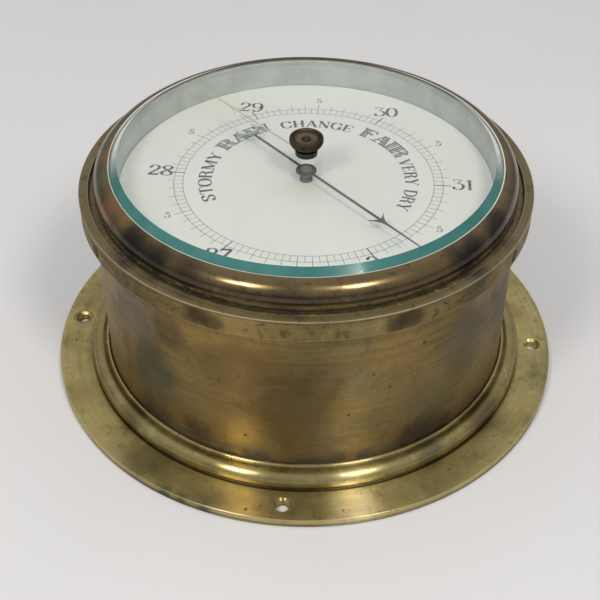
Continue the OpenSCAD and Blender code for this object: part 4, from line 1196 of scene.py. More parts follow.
def alphabet(serif: float = 0.13) -> dict[str, Letter]:
    """The letters and figures that the dial carries, on a height of one, with serifs so long.

    Args:
        serif: how far the longer serifs reach to each side.

    Returns:
        The letters by their character.
    """
    ring = ((0.40, 1.0), (0.16, 0.88), (0.06, 0.5), (0.16, 0.12), (0.40, 0.0), (0.64, 0.12),
            (0.74, 0.5), (0.64, 0.88), (0.40, 1.0))
    oval = tuple((x * 0.8, y) for x, y in ring)
    return {
        "A": Letter(0.84, hair((0.10, 0.0), (0.42, 1.0)) + bar((0.42, 1.0), (0.74, 0.0))
                    + hair((0.22, 0.34), (0.62, 0.34))
                    + hair((0.10 - serif * 0.9, 0.02), (0.10 + serif, 0.02))
                    + hair((0.74 - serif, 0.02), (0.74 + serif, 0.02))),
        "C": Letter(0.80, pen((0.72, 0.72), (0.62, 0.93), (0.42, 1.0), (0.16, 0.86), (0.07, 0.5),
                              (0.16, 0.14), (0.42, 0.0), (0.62, 0.07), (0.73, 0.28))
                    + hair((0.72, 0.66), (0.72, 0.99))),
        "D": Letter(0.82, stem(0.16) + pen((0.16, 0.98), (0.48, 0.94), (0.72, 0.74), (0.76, 0.5),
                                           (0.72, 0.26), (0.48, 0.06), (0.16, 0.02))),
        "E": Letter(0.72, stem(0.16) + hair((0.16, 0.98), (0.62, 0.98), (0.64, 0.74))
                    + hair((0.16, 0.52), (0.48, 0.52)) + hair((0.48, 0.40), (0.48, 0.64))
                    + hair((0.16, 0.02), (0.62, 0.02), (0.66, 0.28))),
        "F": Letter(0.70, stem(0.18, wide=serif) + hair((0.18, 0.98), (0.64, 0.98), (0.66, 0.72))
                    + hair((0.18, 0.52), (0.50, 0.52)) + hair((0.50, 0.40), (0.50, 0.64))),
        "G": Letter(0.86, pen((0.72, 0.74), (0.62, 0.94), (0.42, 1.0), (0.16, 0.86), (0.07, 0.5),
                              (0.16, 0.14), (0.42, 0.0), (0.60, 0.06), (0.70, 0.2))
                    + stem(0.72, 0.0, 0.42, foot=False) + hair((0.72, 0.68), (0.72, 0.99))),
        "H": Letter(0.90, stem(0.18) + stem(0.72) + hair((0.18, 0.5), (0.72, 0.5))),
        "I": Letter(0.38, stem(0.19, wide=serif)),
        "M": Letter(1.04, stem(0.14, nib=Nib.THIN, head=False) + bar((0.16, 1.0), (0.50, 0.06))
                    + hair((0.50, 0.04), (0.84, 1.0)) + stem(0.88)
                    + hair((0.02, 0.98), (0.20, 0.98))),
        "N": Letter(0.90, stem(0.16, nib=Nib.THIN, head=False, wide=serif) + bar((0.16, 1.0), (0.72, 0.0))
                    + stem(0.74, foot=False, nib=Nib.THIN) + hair((0.02, 0.98), (0.22, 0.98))),
        "O": Letter(0.82, pen(*ring)),
        "R": Letter(0.82, stem(0.16, wide=serif)
                    + pen((0.16, 0.98), (0.46, 0.96), (0.62, 0.76), (0.46, 0.53), (0.16, 0.5))
                    + pen((0.40, 0.52), (0.58, 0.42), (0.62, 0.14), (0.70, 0.0), (0.80, 0.06))),
        "S": Letter(0.64, pen((0.54, 0.76), (0.46, 0.94), (0.30, 1.0), (0.12, 0.88), (0.12, 0.68),
                              (0.32, 0.52), (0.50, 0.34), (0.48, 0.12), (0.30, 0.0), (0.12, 0.08),
                              (0.05, 0.28)) + hair((0.54, 0.70), (0.54, 0.98))
                    + hair((0.05, 0.02), (0.05, 0.30))),
        "T": Letter(0.76, stem(0.38, head=False) + hair((0.04, 0.74), (0.06, 0.98), (0.70, 0.98),
                                                        (0.72, 0.74))),
        "V": Letter(0.82, bar((0.12, 1.0), (0.42, 0.0)) + hair((0.42, 0.0), (0.72, 1.0))
                    + hair((0.0, 0.98), (0.26, 0.98)) + hair((0.58, 0.98), (0.84, 0.98))),
        "Y": Letter(0.80, bar((0.10, 1.0), (0.40, 0.46)) + hair((0.42, 0.46), (0.70, 1.0))
                    + stem(0.41, 0.0, 0.5, head=False) + hair((0.0, 0.98), (0.24, 0.98))
                    + hair((0.58, 0.98), (0.82, 0.98))),
        "0": Letter(0.70, pen(*oval)),
        "1": Letter(0.44, stem(0.24, head=False) + hair((0.06, 0.84), (0.16, 0.88), (0.22, 0.98))),
        "2": Letter(0.68, pen((0.14, 0.76), (0.20, 0.94), (0.36, 1.0), (0.56, 0.88), (0.56, 0.66),
                              (0.38, 0.42), (0.10, 0.06), dot=0.07)
                    + bar((0.08, 0.06), (0.60, 0.06)) + hair((0.60, 0.04), (0.64, 0.26))),
        "3": Letter(0.68, hair((0.10, 0.78), (0.12, 0.98), (0.56, 0.98), (0.30, 0.62))
                    + pen((0.30, 0.60), (0.52, 0.56), (0.62, 0.32), (0.50, 0.06), (0.30, 0.0),
                          (0.14, 0.06), (0.10, 0.20)) + pen((0.12, 0.20), (0.10, 0.20), dot=0.07)),
        "5": Letter(0.68, bar((0.14, 0.94), (0.54, 0.94)) + hair((0.14, 0.96), (0.14, 0.52))
                    + pen((0.14, 0.52), (0.34, 0.62), (0.58, 0.46), (0.58, 0.18), (0.34, 0.0),
                          (0.16, 0.05), (0.10, 0.18))
                    + pen((0.12, 0.18), (0.10, 0.18), dot=0.07)),
        "6": Letter(0.70, pen((0.56, 0.84), (0.40, 1.0), (0.20, 0.86), (0.09, 0.5), (0.16, 0.12),
                              (0.36, 0.0), (0.56, 0.10), (0.60, 0.32), (0.50, 0.52), (0.34, 0.58),
                              (0.18, 0.48), (0.12, 0.36), dot=0.07)),
        "7": Letter(0.66, bar((0.08, 0.94), (0.58, 0.94)) + hair((0.08, 0.74), (0.08, 0.98))
                    + pen((0.60, 0.94), (0.44, 0.62), (0.30, 0.3), (0.28, 0.0))),
        "8": Letter(0.70, pen((0.35, 1.0), (0.16, 0.90), (0.14, 0.72), (0.36, 0.54), (0.58, 0.34),
                              (0.56, 0.10), (0.35, 0.0), (0.12, 0.10), (0.11, 0.32), (0.34, 0.54),
                              (0.54, 0.72), (0.54, 0.90), (0.35, 1.0))),
        "9": Letter(0.70, pen((0.14, 0.16), (0.30, 0.0), (0.50, 0.14), (0.61, 0.5), (0.54, 0.88),
                              (0.34, 1.0), (0.14, 0.90), (0.10, 0.68), (0.20, 0.48), (0.36, 0.42),
                              (0.52, 0.52), (0.58, 0.64), dot=0.07)),
        " ": Letter(0.5, ()),
    }


def smooth_path(points: Sequence[Point], per_span: int = 8) -> np.ndarray:
    """A curve through the points: each span blends its four nearest points (Catmull-Rom).

    Args:
        points: the points that it passes.
        per_span: pieces between two points.

    Returns:
        The curve's points. Two or three points that make corners stay straight lines.
    """
    p = np.array(points, dtype=float)
    if np.allclose(p[0], p[-1]):
        p = np.concatenate([p[-2:-1], p, p[1:2]])
    else:
        p = np.concatenate([2 * p[:1] - p[1:2], p, 2 * p[-1:] - p[-2:-1]])
    u = (np.arange(per_span) / per_span)[None, :, None]
    a, b, c, d = p[:-3, None], p[1:-2, None], p[2:-1, None], p[3:, None]
    body = 0.5 * (2 * b + (c - a) * u + (2 * a - 5 * b + 4 * c - d) * u ** 2
                  + (3 * b - a - 3 * c + d) * u ** 3)
    return np.concatenate([body.reshape(-1, 2), p[-2:-1]])


def ribbon(path: np.ndarray, width: np.ndarray, low: float = -0.5,
           high: float = 0.5) -> tuple[np.ndarray, np.ndarray]:
    """A flat band along a path, from low to high times its width across the direction.

    Args:
        path: points as an (n, 2) array.
        width: the full width at each point.
        low: where the band begins across it, as a share of the width.
        high: where the band ends.

    Returns:
        The band's points and its faces.
    """
    step = np.gradient(path, axis=0)
    step /= np.linalg.norm(step, axis=1, keepdims=True) + 1e-12
    across = np.stack([-step[:, 1], step[:, 0]], axis=1) * width[:, None]
    verts = np.stack([path + across * low, path + across * high], axis=1).reshape(-1, 2)
    k = np.arange(len(path) - 1)[:, None] * 2
    return verts, k + np.array([[0, 2, 3, 1]])


@dataclass
class Lettering:
    """Draws lines of letters in the plane as flat bands.

    The print is gathered as points and faces and becomes one mesh at the end. Inline holds the
    bands, as shares of the width, that an ornate stroke is drawn with.
    """
    letters: dict[str, Letter] = field(default_factory=alphabet)
    broad: dict[str, Letter] = field(default_factory=lambda: alphabet(0.25))
    inline: tuple[Point, ...] = ((-0.5, -0.29), (-0.14, 0.09), (0.19, 0.5))
    verts: list[np.ndarray] = field(default_factory=list)
    faces: list[np.ndarray] = field(default_factory=list)
    count: int = 0
    dot_sides: int = 16

    def add(self, verts: np.ndarray, faces: np.ndarray) -> None:
        """Takes in points (n, 2) and faces (m, 4).

        Args:
            verts: points as an (n, 2) array.
            faces: their corners as an (m, 4) array.
        """
        self.verts.append(verts)
        self.faces.append(faces + self.count)
        self.count += len(verts)

    def stroke(self, stroke: Stroke, thick: float, thin: float,
               place: Callable[[np.ndarray], np.ndarray], height: float, ornate: bool = False) -> None:
        """Draws one stroke.

        Args:
            stroke: the stroke, on a height of one.
            thick: width of thick strokes, as a share of the height.
            thin: width of thin strokes, as a share of the height.
            place: turns points on the line into points on the dial.
            height: the letter's height in millimetres.
            ornate: draws a broad stroke as lines side by side instead of solid.
        """
        straight = stroke.nib is not Nib.PEN
        path = smooth_path(stroke.points) if not straight else densify(
            np.array(stroke.points, dtype=float), 0.12, closed=False)
        if straight:
            path = np.concatenate([path, np.array(stroke.points[-1:], dtype=float)])
            path = path[np.concatenate([[True], np.linalg.norm(np.diff(path, axis=0), axis=1) > 1e-6])]
        if len(path) > 1 and np.ptp(path, axis=0).max() > 0.03:
            step = np.gradient(path, axis=0)
            step /= np.linalg.norm(step, axis=1, keepdims=True) + 1e-12
            lean = np.abs(step[:, 1]) ** 1.6
            width = {Nib.THICK: np.full(len(path), thick), Nib.THIN: np.full(len(path), thin),
                     Nib.PEN: thin + (thick - thin) * lean}[stroke.nib]
            open_stroke = ornate and stroke.nib is not Nib.THIN
            for low, high in self.inline if open_stroke else ((-0.5, 0.5),):
                verts, faces = ribbon(path, width, low, high)
                self.add(place(verts * height), faces)
        if stroke.dot:
            t = np.linspace(0, 2 * np.pi, self.dot_sides, endpoint=False)
            disc = np.array(stroke.points[0]) + stroke.dot * np.stack([np.cos(t), np.sin(t)], axis=1)
            last = self.dot_sides - 1
            corners = np.array([[k, k + 1, last - k - 1, last - k] for k in range(last // 2)])
            self.add(place(disc * height), corners)

    def line(self, text: str, height: float, thick: float, thin: float, squeeze: float,
             gap: float, place: Callable[[np.ndarray], np.ndarray], ornate: bool = False) -> None:
        """Draws a line of letters.

        Args:
            text: the letters.
            height: their height in millimetres.
            thick: width of thick strokes, as a share of the height.
            thin: width of thin strokes, as a share of the height.
            squeeze: how wide the letters are beside their drawn width.
            gap: extra space between letters, as a share of the height.
            place: turns points along the line, x from its middle, into points on the dial.
            ornate: draws letters with broad serifs and strokes made of lines.
        """
        letters = self.broad if ornate else self.letters
        widths = [letters[c].width * squeeze + gap for c in text]
        total = (sum(widths) - gap) * height
        x = -total / 2
        for char, width in zip(text, widths):
            def here(points: np.ndarray, x: float = x) -> np.ndarray:
                """Moves a letter's points along the line."""
                return place(points * np.array([squeeze, 1.0]) + np.array([x, 0.0]))
            for stroke in letters[char].strokes:
                self.stroke(stroke, thick, thin, here, height, ornate)
            x += width * height


# Sub-assemblies

@dataclass
class Flange:
    """The mounting flange with its moulding, bead and four countersunk holes."""
    radius: float = 102.3
    thickness: float = 3.5
    hole_circle: float = 95.3
    hole_r: float = 2.5
    sink_r: float = 3.4
    roll: Point = (84.95, 6.5)
    roll_r: float = 3.85
    bead: Point = (82.0, 9.6)
    bead_r: float = 0.95
    groove_r: float = 88.9
    groove_z: float = 3.0
    drum: Point = (79.4, 81.0)  # bore and outside of the drum that stands in it
    lip: tuple[float, float, float, float] = (68.0, 76.0, 2.4, 5.4)  # two radii, two heights
    worn: float = 0.28
    overshoot: float = 0.6  # how far the drill's cone goes on above the front
    below: float = 2.0  # how far the drill comes out at the back

    def build(self) -> bpy.types.Object:
        """Makes the flange: a turned section, then the holes cut out of it.

        Returns:
            The flange.
        """
        bore, seat, low, top = self.lip
        (roll_x, roll_z), (bead_x, bead_z) = self.roll, self.bead
        lean = math.degrees(math.atan2(bead_z - roll_z, bead_x - roll_x))
        apart = math.hypot(bead_x - roll_x, bead_z - roll_z)

        def crossing(r1: float, r2: float) -> float:
            """Angle at the first circle between the line of centres and the crossing."""
            return math.degrees(math.acos((r1 * r1 + apart * apart - r2 * r2) / (2 * r1 * apart)))

        start = math.degrees(math.asin((self.groove_z - roll_z) / self.roll_r))
        hollow = soften(outline(
            (seat, 0.0), (self.radius, 0.0), (self.radius, self.thickness),
            (self.groove_r, self.thickness), (self.groove_r, self.groove_z),
            (roll_x + self.roll_r * math.cos(math.radians(start)), self.groove_z)),
            self.worn, closed=False)
        drum_bore, drum_r = self.drum
        line = outline(
            hollow,
            arc(self.roll, self.roll_r, start, lean - crossing(self.roll_r, self.bead_r), 40)[1:],
            arc(self.bead, self.bead_r, lean - 180 + crossing(self.bead_r, self.roll_r), 150, 18),
            (drum_r, bead_z + self.bead_r / 2), (drum_r, low), (drum_bore, low), (drum_bore, top),
            (bore, top), (bore, low), (seat, low))
        flange = lathe("flange", densify(line, LONGEST))
        land = self.thickness - (self.sink_r - self.hole_r)
        above = self.thickness + self.overshoot
        drill = outline((0.0, -self.below), (self.hole_r, -self.below), (self.hole_r, land),
                        (self.sink_r + self.overshoot, above), (0.0, above))
        up = np.array([0.0, 0.0, 1.0])
        holes = [np.array([math.cos(a), math.sin(a), 0.0]) * self.hole_circle
                 for a in np.radians([0, 90, 180, 270])]
        carve(flange, [plug(f"drill_{k}", drill, hole, up) for k, hole in enumerate(holes)])
        return flange

    def dress(self, flange: bpy.types.Object) -> None:
        """Gives the flange its finish and joins it to the frame.

        Args:
            flange: the flange.
        """
        flange.data.materials.clear()
        flange.data.materials.append(FLANGE_BRASS.material())
        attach(flange, "case")
        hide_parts("mounting_flange")


@dataclass
class Case:
    """The drum and the collar round its top, with pockets for the bezel's screws."""
    radius: float = 81.0
    bore: float = 79.4
    foot_z: float = 2.4
    top_z: float = 79.7
    collar_r: float = 85.6
    collar_low: float = 74.4
    collar_top: float = 81.7
    rebate_r: float = 83.2
    screw_turns: Place = (94.3, 214.3, 334.3)
    screw_z: float = 77.8
    screw_r: float = 1.6
    pocket_r: float = 2.4
    pocket_from: float = 83.9
    drill_from: float = 78.0
    drill_len: float = 10.0

    def build(self) -> tuple[bpy.types.Object, bpy.types.Object]:
        """Makes the drum and the collar as turned sections and cuts the screws' pockets.

        Returns:
            The drum and the collar.
        """
        wall = soften(outline((self.bore, self.foot_z), (self.radius, self.foot_z),
                              (self.radius, self.top_z), (self.bore, self.top_z)), 0.15)
        drum = lathe("drum", densify(wall, LONGEST))
        ring = soften(outline((self.radius, self.collar_low), (self.collar_r, self.collar_low),
                              (self.collar_r, self.collar_top), (self.rebate_r, self.collar_top),
                              (self.rebate_r, self.top_z), (self.radius, self.top_z)), 0.22)
        collar = lathe("collar", densify(ring, 4.0))
        sink = self.pocket_from - self.drill_from
        drill = outline((0.0, 0.0), (self.screw_r, 0.0), (self.screw_r, sink),
                        (self.pocket_r, sink), (self.pocket_r, self.drill_len), (0.0, self.drill_len))
        height = np.array([0.0, 0.0, self.screw_z])
        outward = [np.array([math.cos(a), math.sin(a), 0.0]) for a in np.radians(self.screw_turns)]
        for piece in (drum, collar):
            carve(piece, [plug(f"pocket_{k}", drill, out * self.drill_from + height, out)
                          for k, out in enumerate(outward)])
        return drum, collar

    def dress(self, drum: bpy.types.Object, collar: bpy.types.Object) -> None:
        """Gives drum and collar their finishes and joins them to the frame.

        Args:
            drum: the drum.
            collar: the collar.
        """
        for piece, finish, node in ((drum, DRUM_BRASS, "case_drum"),
                                    (collar, COLLAR_BRASS, "case_collar")):
            piece.data.materials.clear()
            piece.data.materials.append(finish.material())
            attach(piece, "case")
            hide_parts(node)


@dataclass
class Bezel:
    """The bezel: spigot, ledge, groove and the big moulding whose lip frames the glass."""
    spigot_bore: float = 76.6
    spigot_r: float = 79.3
    spigot_z: float = 72.2
    step_r: float = 83.0
    step_z: float = 79.7
    joint_z: float = 81.7
    ledge_r: float = 85.7
    ledge_z: float = 82.8
    ledge_in: float = 82.2
    groove_z: float = 81.1
    roll: Point = (73.4, 85.5)
    roll_r: float = 6.6
    lip_r: float = 73.6
    seat_r: float = 75.2
    glass_z: float = 89.5
    ring_r: float = 77.1
    ring_h: float = 1.3
    groove_slope: float = 0.3
    worn: float = 0.28
    glass: tuple[float, float, float, float] = (94.0, 70.6, 0.778, 0.12)  # top, inner radius, slope, gap

    def build(self) -> bpy.types.Object:
        """Makes the bezel as one turned section.

        Returns:
            The bezel.
        """
        top, inner, slope, gap = self.glass

        def under(r: float) -> float:
            """Height of the lip's underside, which follows the glass's bevel."""
            return top - (r - inner) * slope + gap

        x, z = self.roll
        start = math.degrees(math.asin((self.groove_z - z) / self.roll_r))
        end = math.degrees(math.acos((self.lip_r - x) / self.roll_r))
        line = outline(
            soften(outline(
                (self.spigot_bore, self.spigot_z), (self.spigot_r, self.spigot_z),
                (self.spigot_r, self.step_z), (self.step_r, self.step_z), (self.step_r, self.joint_z),
                (self.ledge_r, self.joint_z), (self.ledge_r, self.ledge_z), (self.ledge_in, self.ledge_z),
                (self.ledge_in - self.groove_slope, self.groove_z),
                (x + self.roll_r * math.cos(math.radians(start)), self.groove_z)),
                self.worn, closed=False),
            arc(self.roll, self.roll_r, start, end, 56)[1:-1],
            soften(outline((self.lip_r + 0.3, z + self.roll_r), (self.lip_r, under(self.lip_r) + 0.2),
                           (self.lip_r, under(self.lip_r))), 0.1, closed=False)[1:],
            (self.seat_r, under(self.seat_r)), (self.seat_r, self.glass_z), (self.ring_r, self.glass_z),
            (self.ring_r, self.glass_z - self.ring_h), (self.spigot_bore, self.glass_z - self.ring_h))
        return lathe("bezel", densify(line, LONGEST))

    def dress(self, bezel: bpy.types.Object) -> None:
        """Gives the bezel its finish and joins it to the frame.

        Args:
            bezel: the bezel.
        """
        bezel.data.materials.append(BEZEL_BRASS.material())
        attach(bezel, "case")
        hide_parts("bezel_ring")


@dataclass
class Window:
    """The bevelled glass, the silvered sleeve below it and the knob's bush."""
    radius: float = 75.0
    back_z: float = 89.5
    top_z: float = 94.0
    bevel_in: float = 70.6
    rim_z: float = 90.58
    hole_r: float = 4.2
    sides: tuple[int, ...] = (0, 2, 1, 0, 3)  # finish of the back, rim, bevel, front and hole
    sleeve: tuple[float, float, float, float] = (71.35, 72.55, 78.0, 89.4)  # two radii, two heights
    sleeve_steps: int = 320

    def build(self) -> tuple[bpy.types.Object, bpy.types.Object]:
        """Makes the glass and the sleeve as turned sections.

        Returns:
            The glass and the sleeve.
        """
        line = outline((self.hole_r, self.back_z), (self.radius, self.back_z),
                       (self.radius, self.rim_z), (self.bevel_in, self.top_z),
                       (self.hole_r, self.top_z))
        glass = lathe("window_glass", line, slots=np.array(self.sides))
        r_in, r_out, low, high = self.sleeve
        wall = soften(outline((r_in, low), (r_out, low), (r_out, high), (r_in, high)), 0.2)
        return glass, lathe("sleeve", wall, self.sleeve_steps)

    def dress(self, glass: bpy.types.Object, sleeve: bpy.types.Object) -> None:
        """Gives glass and sleeve their finishes and joins them to the frame.

        Args:
            glass: the glass.
            sleeve: the sleeve.
        """
        for finish in (Glass(), BEVEL_GLASS, GROUND_GLASS, BUSH):
            glass.data.materials.append(finish.material())
        sleeve.data.materials.append(SILVERED.material())
        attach(glass, "case")
        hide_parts("glass_pane")
        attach(sleeve, "case")
        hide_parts("dial_sleeve")


@dataclass(frozen=True)
class Inch:
    """An upright figure at an inch mark, with how far it stands to the right and up from it."""
    text: str
    angle: float
    right: float
    up: float


@dataclass(frozen=True)
class Word:
    """A weather word on a circle, from one angle to another, with its widths of stroke."""
    text: str
    base: float
    height: float
    start: float
    end: float
    thick: float = 0.20
    thin: float = 0.07
    ornate: bool = False


@dataclass
class DialPrint:
    """What is printed on the dial: two rings, the ticks, the inches and the weather words."""
    centre: Point = (0.88, 0.28)
    twist: float = 0.26
    face_z: float = 78.0
    lift: float = 0.02
    ring_in: float = 47.75
    ring_out: float = 51.2
    hairline: float = 0.2
    tick_w: float = 0.18
    tenth_out: float = 53.7
    half_out: float = 54.5
    inch_out: float = 54.1
    inch_w: float = 0.5
    number_r: float = 58.0
    number_h: float = 6.6
    five_h: float = 3.3
    five_r: float = 57.2
    inches: tuple[Inch, ...] = (
        Inch("28", 180, 0.9, 0.9), Inch("29", 120, 1.2, 0.2), Inch("30", 60, -0.8, 1.2),
        Inch("31", 0, 0.5, 1.2), Inch("26", -60, -0.6, 0.9), Inch("27", -120, 1.0, 0.9))
    words: tuple[Word, ...] = (
        Word("STORMY", 37.0, 4.9, 206.5, 158.5),
        Word("RAIN", 37.5, 5.8, 152.5, 117.5, 0.32, 0.085, True),
        Word("CHANGE", 37.2, 4.9, 110.8, 67.8),
        Word("FAIR", 37.4, 6.2, 61.5, 27.5, 0.32, 0.085, True),
        Word("VERY DRY", 36.9, 4.9, 24.5, -25.5))
    word_gap: float = 0.07  # between letters, as a share of their height
    word_middle: float = 2.0  # height above the base line at which a word's length is measured

    def spot(self, radius: Any, angle: Any) -> np.ndarray:
        """Points of the print at these radii and angles, in millimetres and degrees.

        Args:
            radius: distances from the print's centre.
            angle: angles from three o'clock.

        Returns:
            The points, centre plus radius times (cos a, sin a), turned by the print's twist.
        """
        a = np.radians(np.asarray(angle, dtype=float) + self.twist)
        x, y = self.centre
        return np.stack([x + radius * np.cos(a), y + radius * np.sin(a)], axis=-1)

    def bands(self, ink: Lettering, radius: float) -> None:
        """Adds a ring line: a band of constant width on a circle.

        Args:
            ink: the print.
            radius: the circle's radius.
        """
        t = np.linspace(0, 360, 361)
        verts = np.stack([self.spot(radius - self.hairline / 2, t),
                          self.spot(radius + self.hairline / 2, t)], axis=1).reshape(-1, 2)
        k = np.arange(360)[:, None] * 2
        ink.add(verts, k + np.array([[0, 1, 3, 2]]))

    def ticks(self, ink: Lettering, angles: np.ndarray, inner: float, outer: float,
              width: float) -> None:
        """Adds radial bars of one length, with corners at angle plus and minus half the width.

        Args:
            ink: the print.
            angles: where the bars stand.
            inner: their inner radius.
            outer: their outer radius.
            width: their width.
        """
        a = np.asarray(angles, dtype=float)
        mid = (inner + outer) / 2
        half = math.degrees(width / 2 / mid)
        corners = np.stack([self.spot(inner, a - half), self.spot(outer, a - half),
                            self.spot(outer, a + half), self.spot(inner, a + half)], axis=1)
        faces = np.arange(len(a) * 4).reshape(-1, 4)
        ink.add(corners.reshape(-1, 2), faces)

    def upright(self, angle: float, radius: float, right: float, up: float,
                height: float) -> Callable[[np.ndarray], np.ndarray]:
        """A place for upright letters centred at that radius and angle, moved right and up."""
        middle = self.spot(radius, angle) + np.array([right, up - height / 2])
        return lambda points: middle + points

    def curved(self, angle: float, base: float) -> Callable[[np.ndarray], np.ndarray]:
        """A place for words on a circle, tops outward: angle minus x over radius, base plus y."""
        return lambda p: self.spot(base + p[:, 1],
                                   angle - np.degrees(p[:, 0] / (base + self.word_middle)))

    def build(self) -> bpy.types.Object:
        """Makes the whole print as one flat mesh just above the dial.

        Returns:
            The print.
        """
        ink = Lettering()
        for radius in (self.ring_in, self.ring_out):
            self.bands(ink, radius)
        whole = np.arange(0, 360, 60)
        halves = whole + 30
        tenths = np.array([a for a in range(0, 360, 6) if a % 30])
        between = np.arange(3, 360, 6)
        self.ticks(ink, between, self.ring_in, self.ring_out, self.tick_w)
        self.ticks(ink, tenths, self.ring_in, self.tenth_out, self.tick_w)
        self.ticks(ink, halves, self.ring_in, self.half_out, self.tick_w * 1.2)
        self.ticks(ink, whole, self.ring_in, self.inch_out, self.inch_w)
        for inch in self.inches:
            ink.line(inch.text, self.number_h, 0.165, 0.055, 1.1, 0.03,
                     self.upright(inch.angle, self.number_r, inch.right, inch.up, self.number_h))
        for angle in halves:
            ink.line("5", self.five_h, 0.15, 0.06, 1.05, 0.0,
                     self.upright(float(angle), self.five_r, 0.0, 0.8, self.five_h))
        for word in self.words:
            length = math.radians(word.start - word.end) * (word.base + self.word_middle)
            drawn = sum(ink.letters[c].width for c in word.text)
            squeeze = (length / word.height - self.word_gap * (len(word.text) - 1)) / drawn
            ink.line(word.text, word.height, word.thick, word.thin, squeeze, self.word_gap,
                     self.curved((word.start + word.end) / 2, word.base), word.ornate)
        flat = np.concatenate(ink.verts)
        verts = np.concatenate([flat, np.full((len(flat), 1), self.face_z + self.lift)], axis=1)
        faces = np.concatenate(ink.faces)
        a, b, c = verts[faces[:, 0]], verts[faces[:, 1]], verts[faces[:, 2]]
        facing = (b[:, 0] - a[:, 0]) * (c[:, 1] - a[:, 1]) - (b[:, 1] - a[:, 1]) * (c[:, 0] - a[:, 0])
        faces = np.where(facing[:, None] < 0, faces[:, ::-1], faces)
        return make_mesh("dial_print", verts, faces)

    def dress(self, print_: bpy.types.Object) -> None:
        """Gives the print its ink and joins it to the frame.

        Args:
            print_: the print.
        """
        print_.data.materials.append(Ink().material())
        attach(print_, "case")


@dataclass
class Knob:
    """The knurled knob that turns the set hand, dished on top with a small boss."""
    foot_z: float = 94.45
    neck_r: float = 3.8
    rim_r: float = 6.4
    bowl_r: float = 6.1
    rim_low: float = 97.3
    top_z: float = 99.5
    dish_r: float = 5.5
    floor_z: float = 98.3
    boss_r: float = 1.1
    notches: int = 48
    notch_depth: float = 0.25
    notch_steps: int = 8

    def build(self) -> bpy.types.Object:
        """Makes the knob: an open section from axis to axis whose rim is cut by the notches.

        Returns:
            The knob.
        """
        bowl = curve((self.neck_r, self.foot_z + 1.1), (self.bowl_r + 0.2, self.foot_z + 1.2),
                     (self.bowl_r, self.rim_low), 14)
        rim = outline((self.rim_r, self.rim_low + 0.15), (self.rim_r, self.top_z - 0.5))
        dish = curve((self.dish_r, self.top_z - 0.1), (self.dish_r - 0.35, self.floor_z + 0.1),
                     (self.boss_r + 0.5, self.floor_z), 14)
        top = outline(curve((self.rim_r - 0.12, self.top_z - 0.3), (self.rim_r - 0.2, self.top_z),
                            (self.rim_r - 0.5, self.top_z), 5), dish,
                      (self.boss_r, self.floor_z + 0.05), (self.boss_r * 0.8, self.floor_z + 0.45),
                      (self.boss_r * 0.4, self.floor_z + 0.6), (0.0, self.floor_z + 0.62))
        foot = outline((0.0, self.foot_z), (self.neck_r, self.foot_z))
        line = outline(foot, bowl, rim, top)
        depth = np.where(line[:, 0] > self.rim_r - 0.01, self.notch_depth, 0.0)
        return lathe("knob", line, self.notches * self.notch_steps, closed=False,
                     ripple=lambda t: np.clip(0.5 - 0.9 * np.cos(t * self.notches), 0, 1), depth=depth)

    def dress(self, knob: bpy.types.Object) -> None:
        """Gives the knob its finish and joins it to the frame.

        Args:
            knob: the knob.
        """
        knob.data.materials.append(KNOB_BRASS.material())
        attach(knob, "setter")
        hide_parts("set_knob")


@dataclass
class CarriedOver:
    """The frame's own pieces that keep their shape and only get a finish."""
    finishes: dict[str, Any] = field(default_factory=lambda: {
        "flange_brass": PLATE_BRASS, "drum_brass": DRUM_BRASS, "collar_brass": COLLAR_BRASS,
        "bezel_brass": BEZEL_BRASS, "bright_brass": BRIGHT_BRASS, "steel": STEEL,
        "blued_steel": BLUED_STEEL,
        "silvered": SILVERED, "dial_enamel": Enamel(), "glass": Glass("spare_glass"),
        "knob_brass": KNOB_BRASS})
    own: dict[str, Any] = field(default_factory=lambda: {
        "set_hand": PALE_HAND, "pointer": PointerSteel(), "pointer_collet": COLLET_STEEL,
        "dial_bush": DARK_BUSH, "bezel_screws": KNOB_BRASS})
    made: dict[str, bpy.types.Material] = field(default_factory=dict)

    def finish_for(self, name: str, slot: str) -> bpy.types.Material:
        """The material of a node, made once: its own finish, or else that of its slot.

        Args:
            name: the node.
            slot: the record's slot of that node.

        Returns:
            The material.
        """
        key = name if name in self.own else slot
        if key not in self.made:
            self.made[key] = (self.own.get(name) or self.finishes[slot]).material()
        return self.made[key]

    def dress(self, nodes: dict[str, bpy.types.Object], slots: dict[str, str]) -> None:
        """Puts each node's finish in its object's material slots.

        Args:
            nodes: the frame's objects by node.
            slots: the record's slot of each node.
        """
        for name, obj in nodes.items():
            material = self.finish_for(name, slots[name])
            for place in obj.material_slots:
                place.link = "OBJECT"
                place.material = material


@dataclass(frozen=True)
class SoftBox:
    """A lamp: the direction in which it stands from the dial, its power and its size in metres."""
    name: str
    towards: Place
    watts: float
    distance: float = 1.2
    size: Point = (0.22, 0.30)
    colour: Colour = (1.0, 0.98, 0.95)


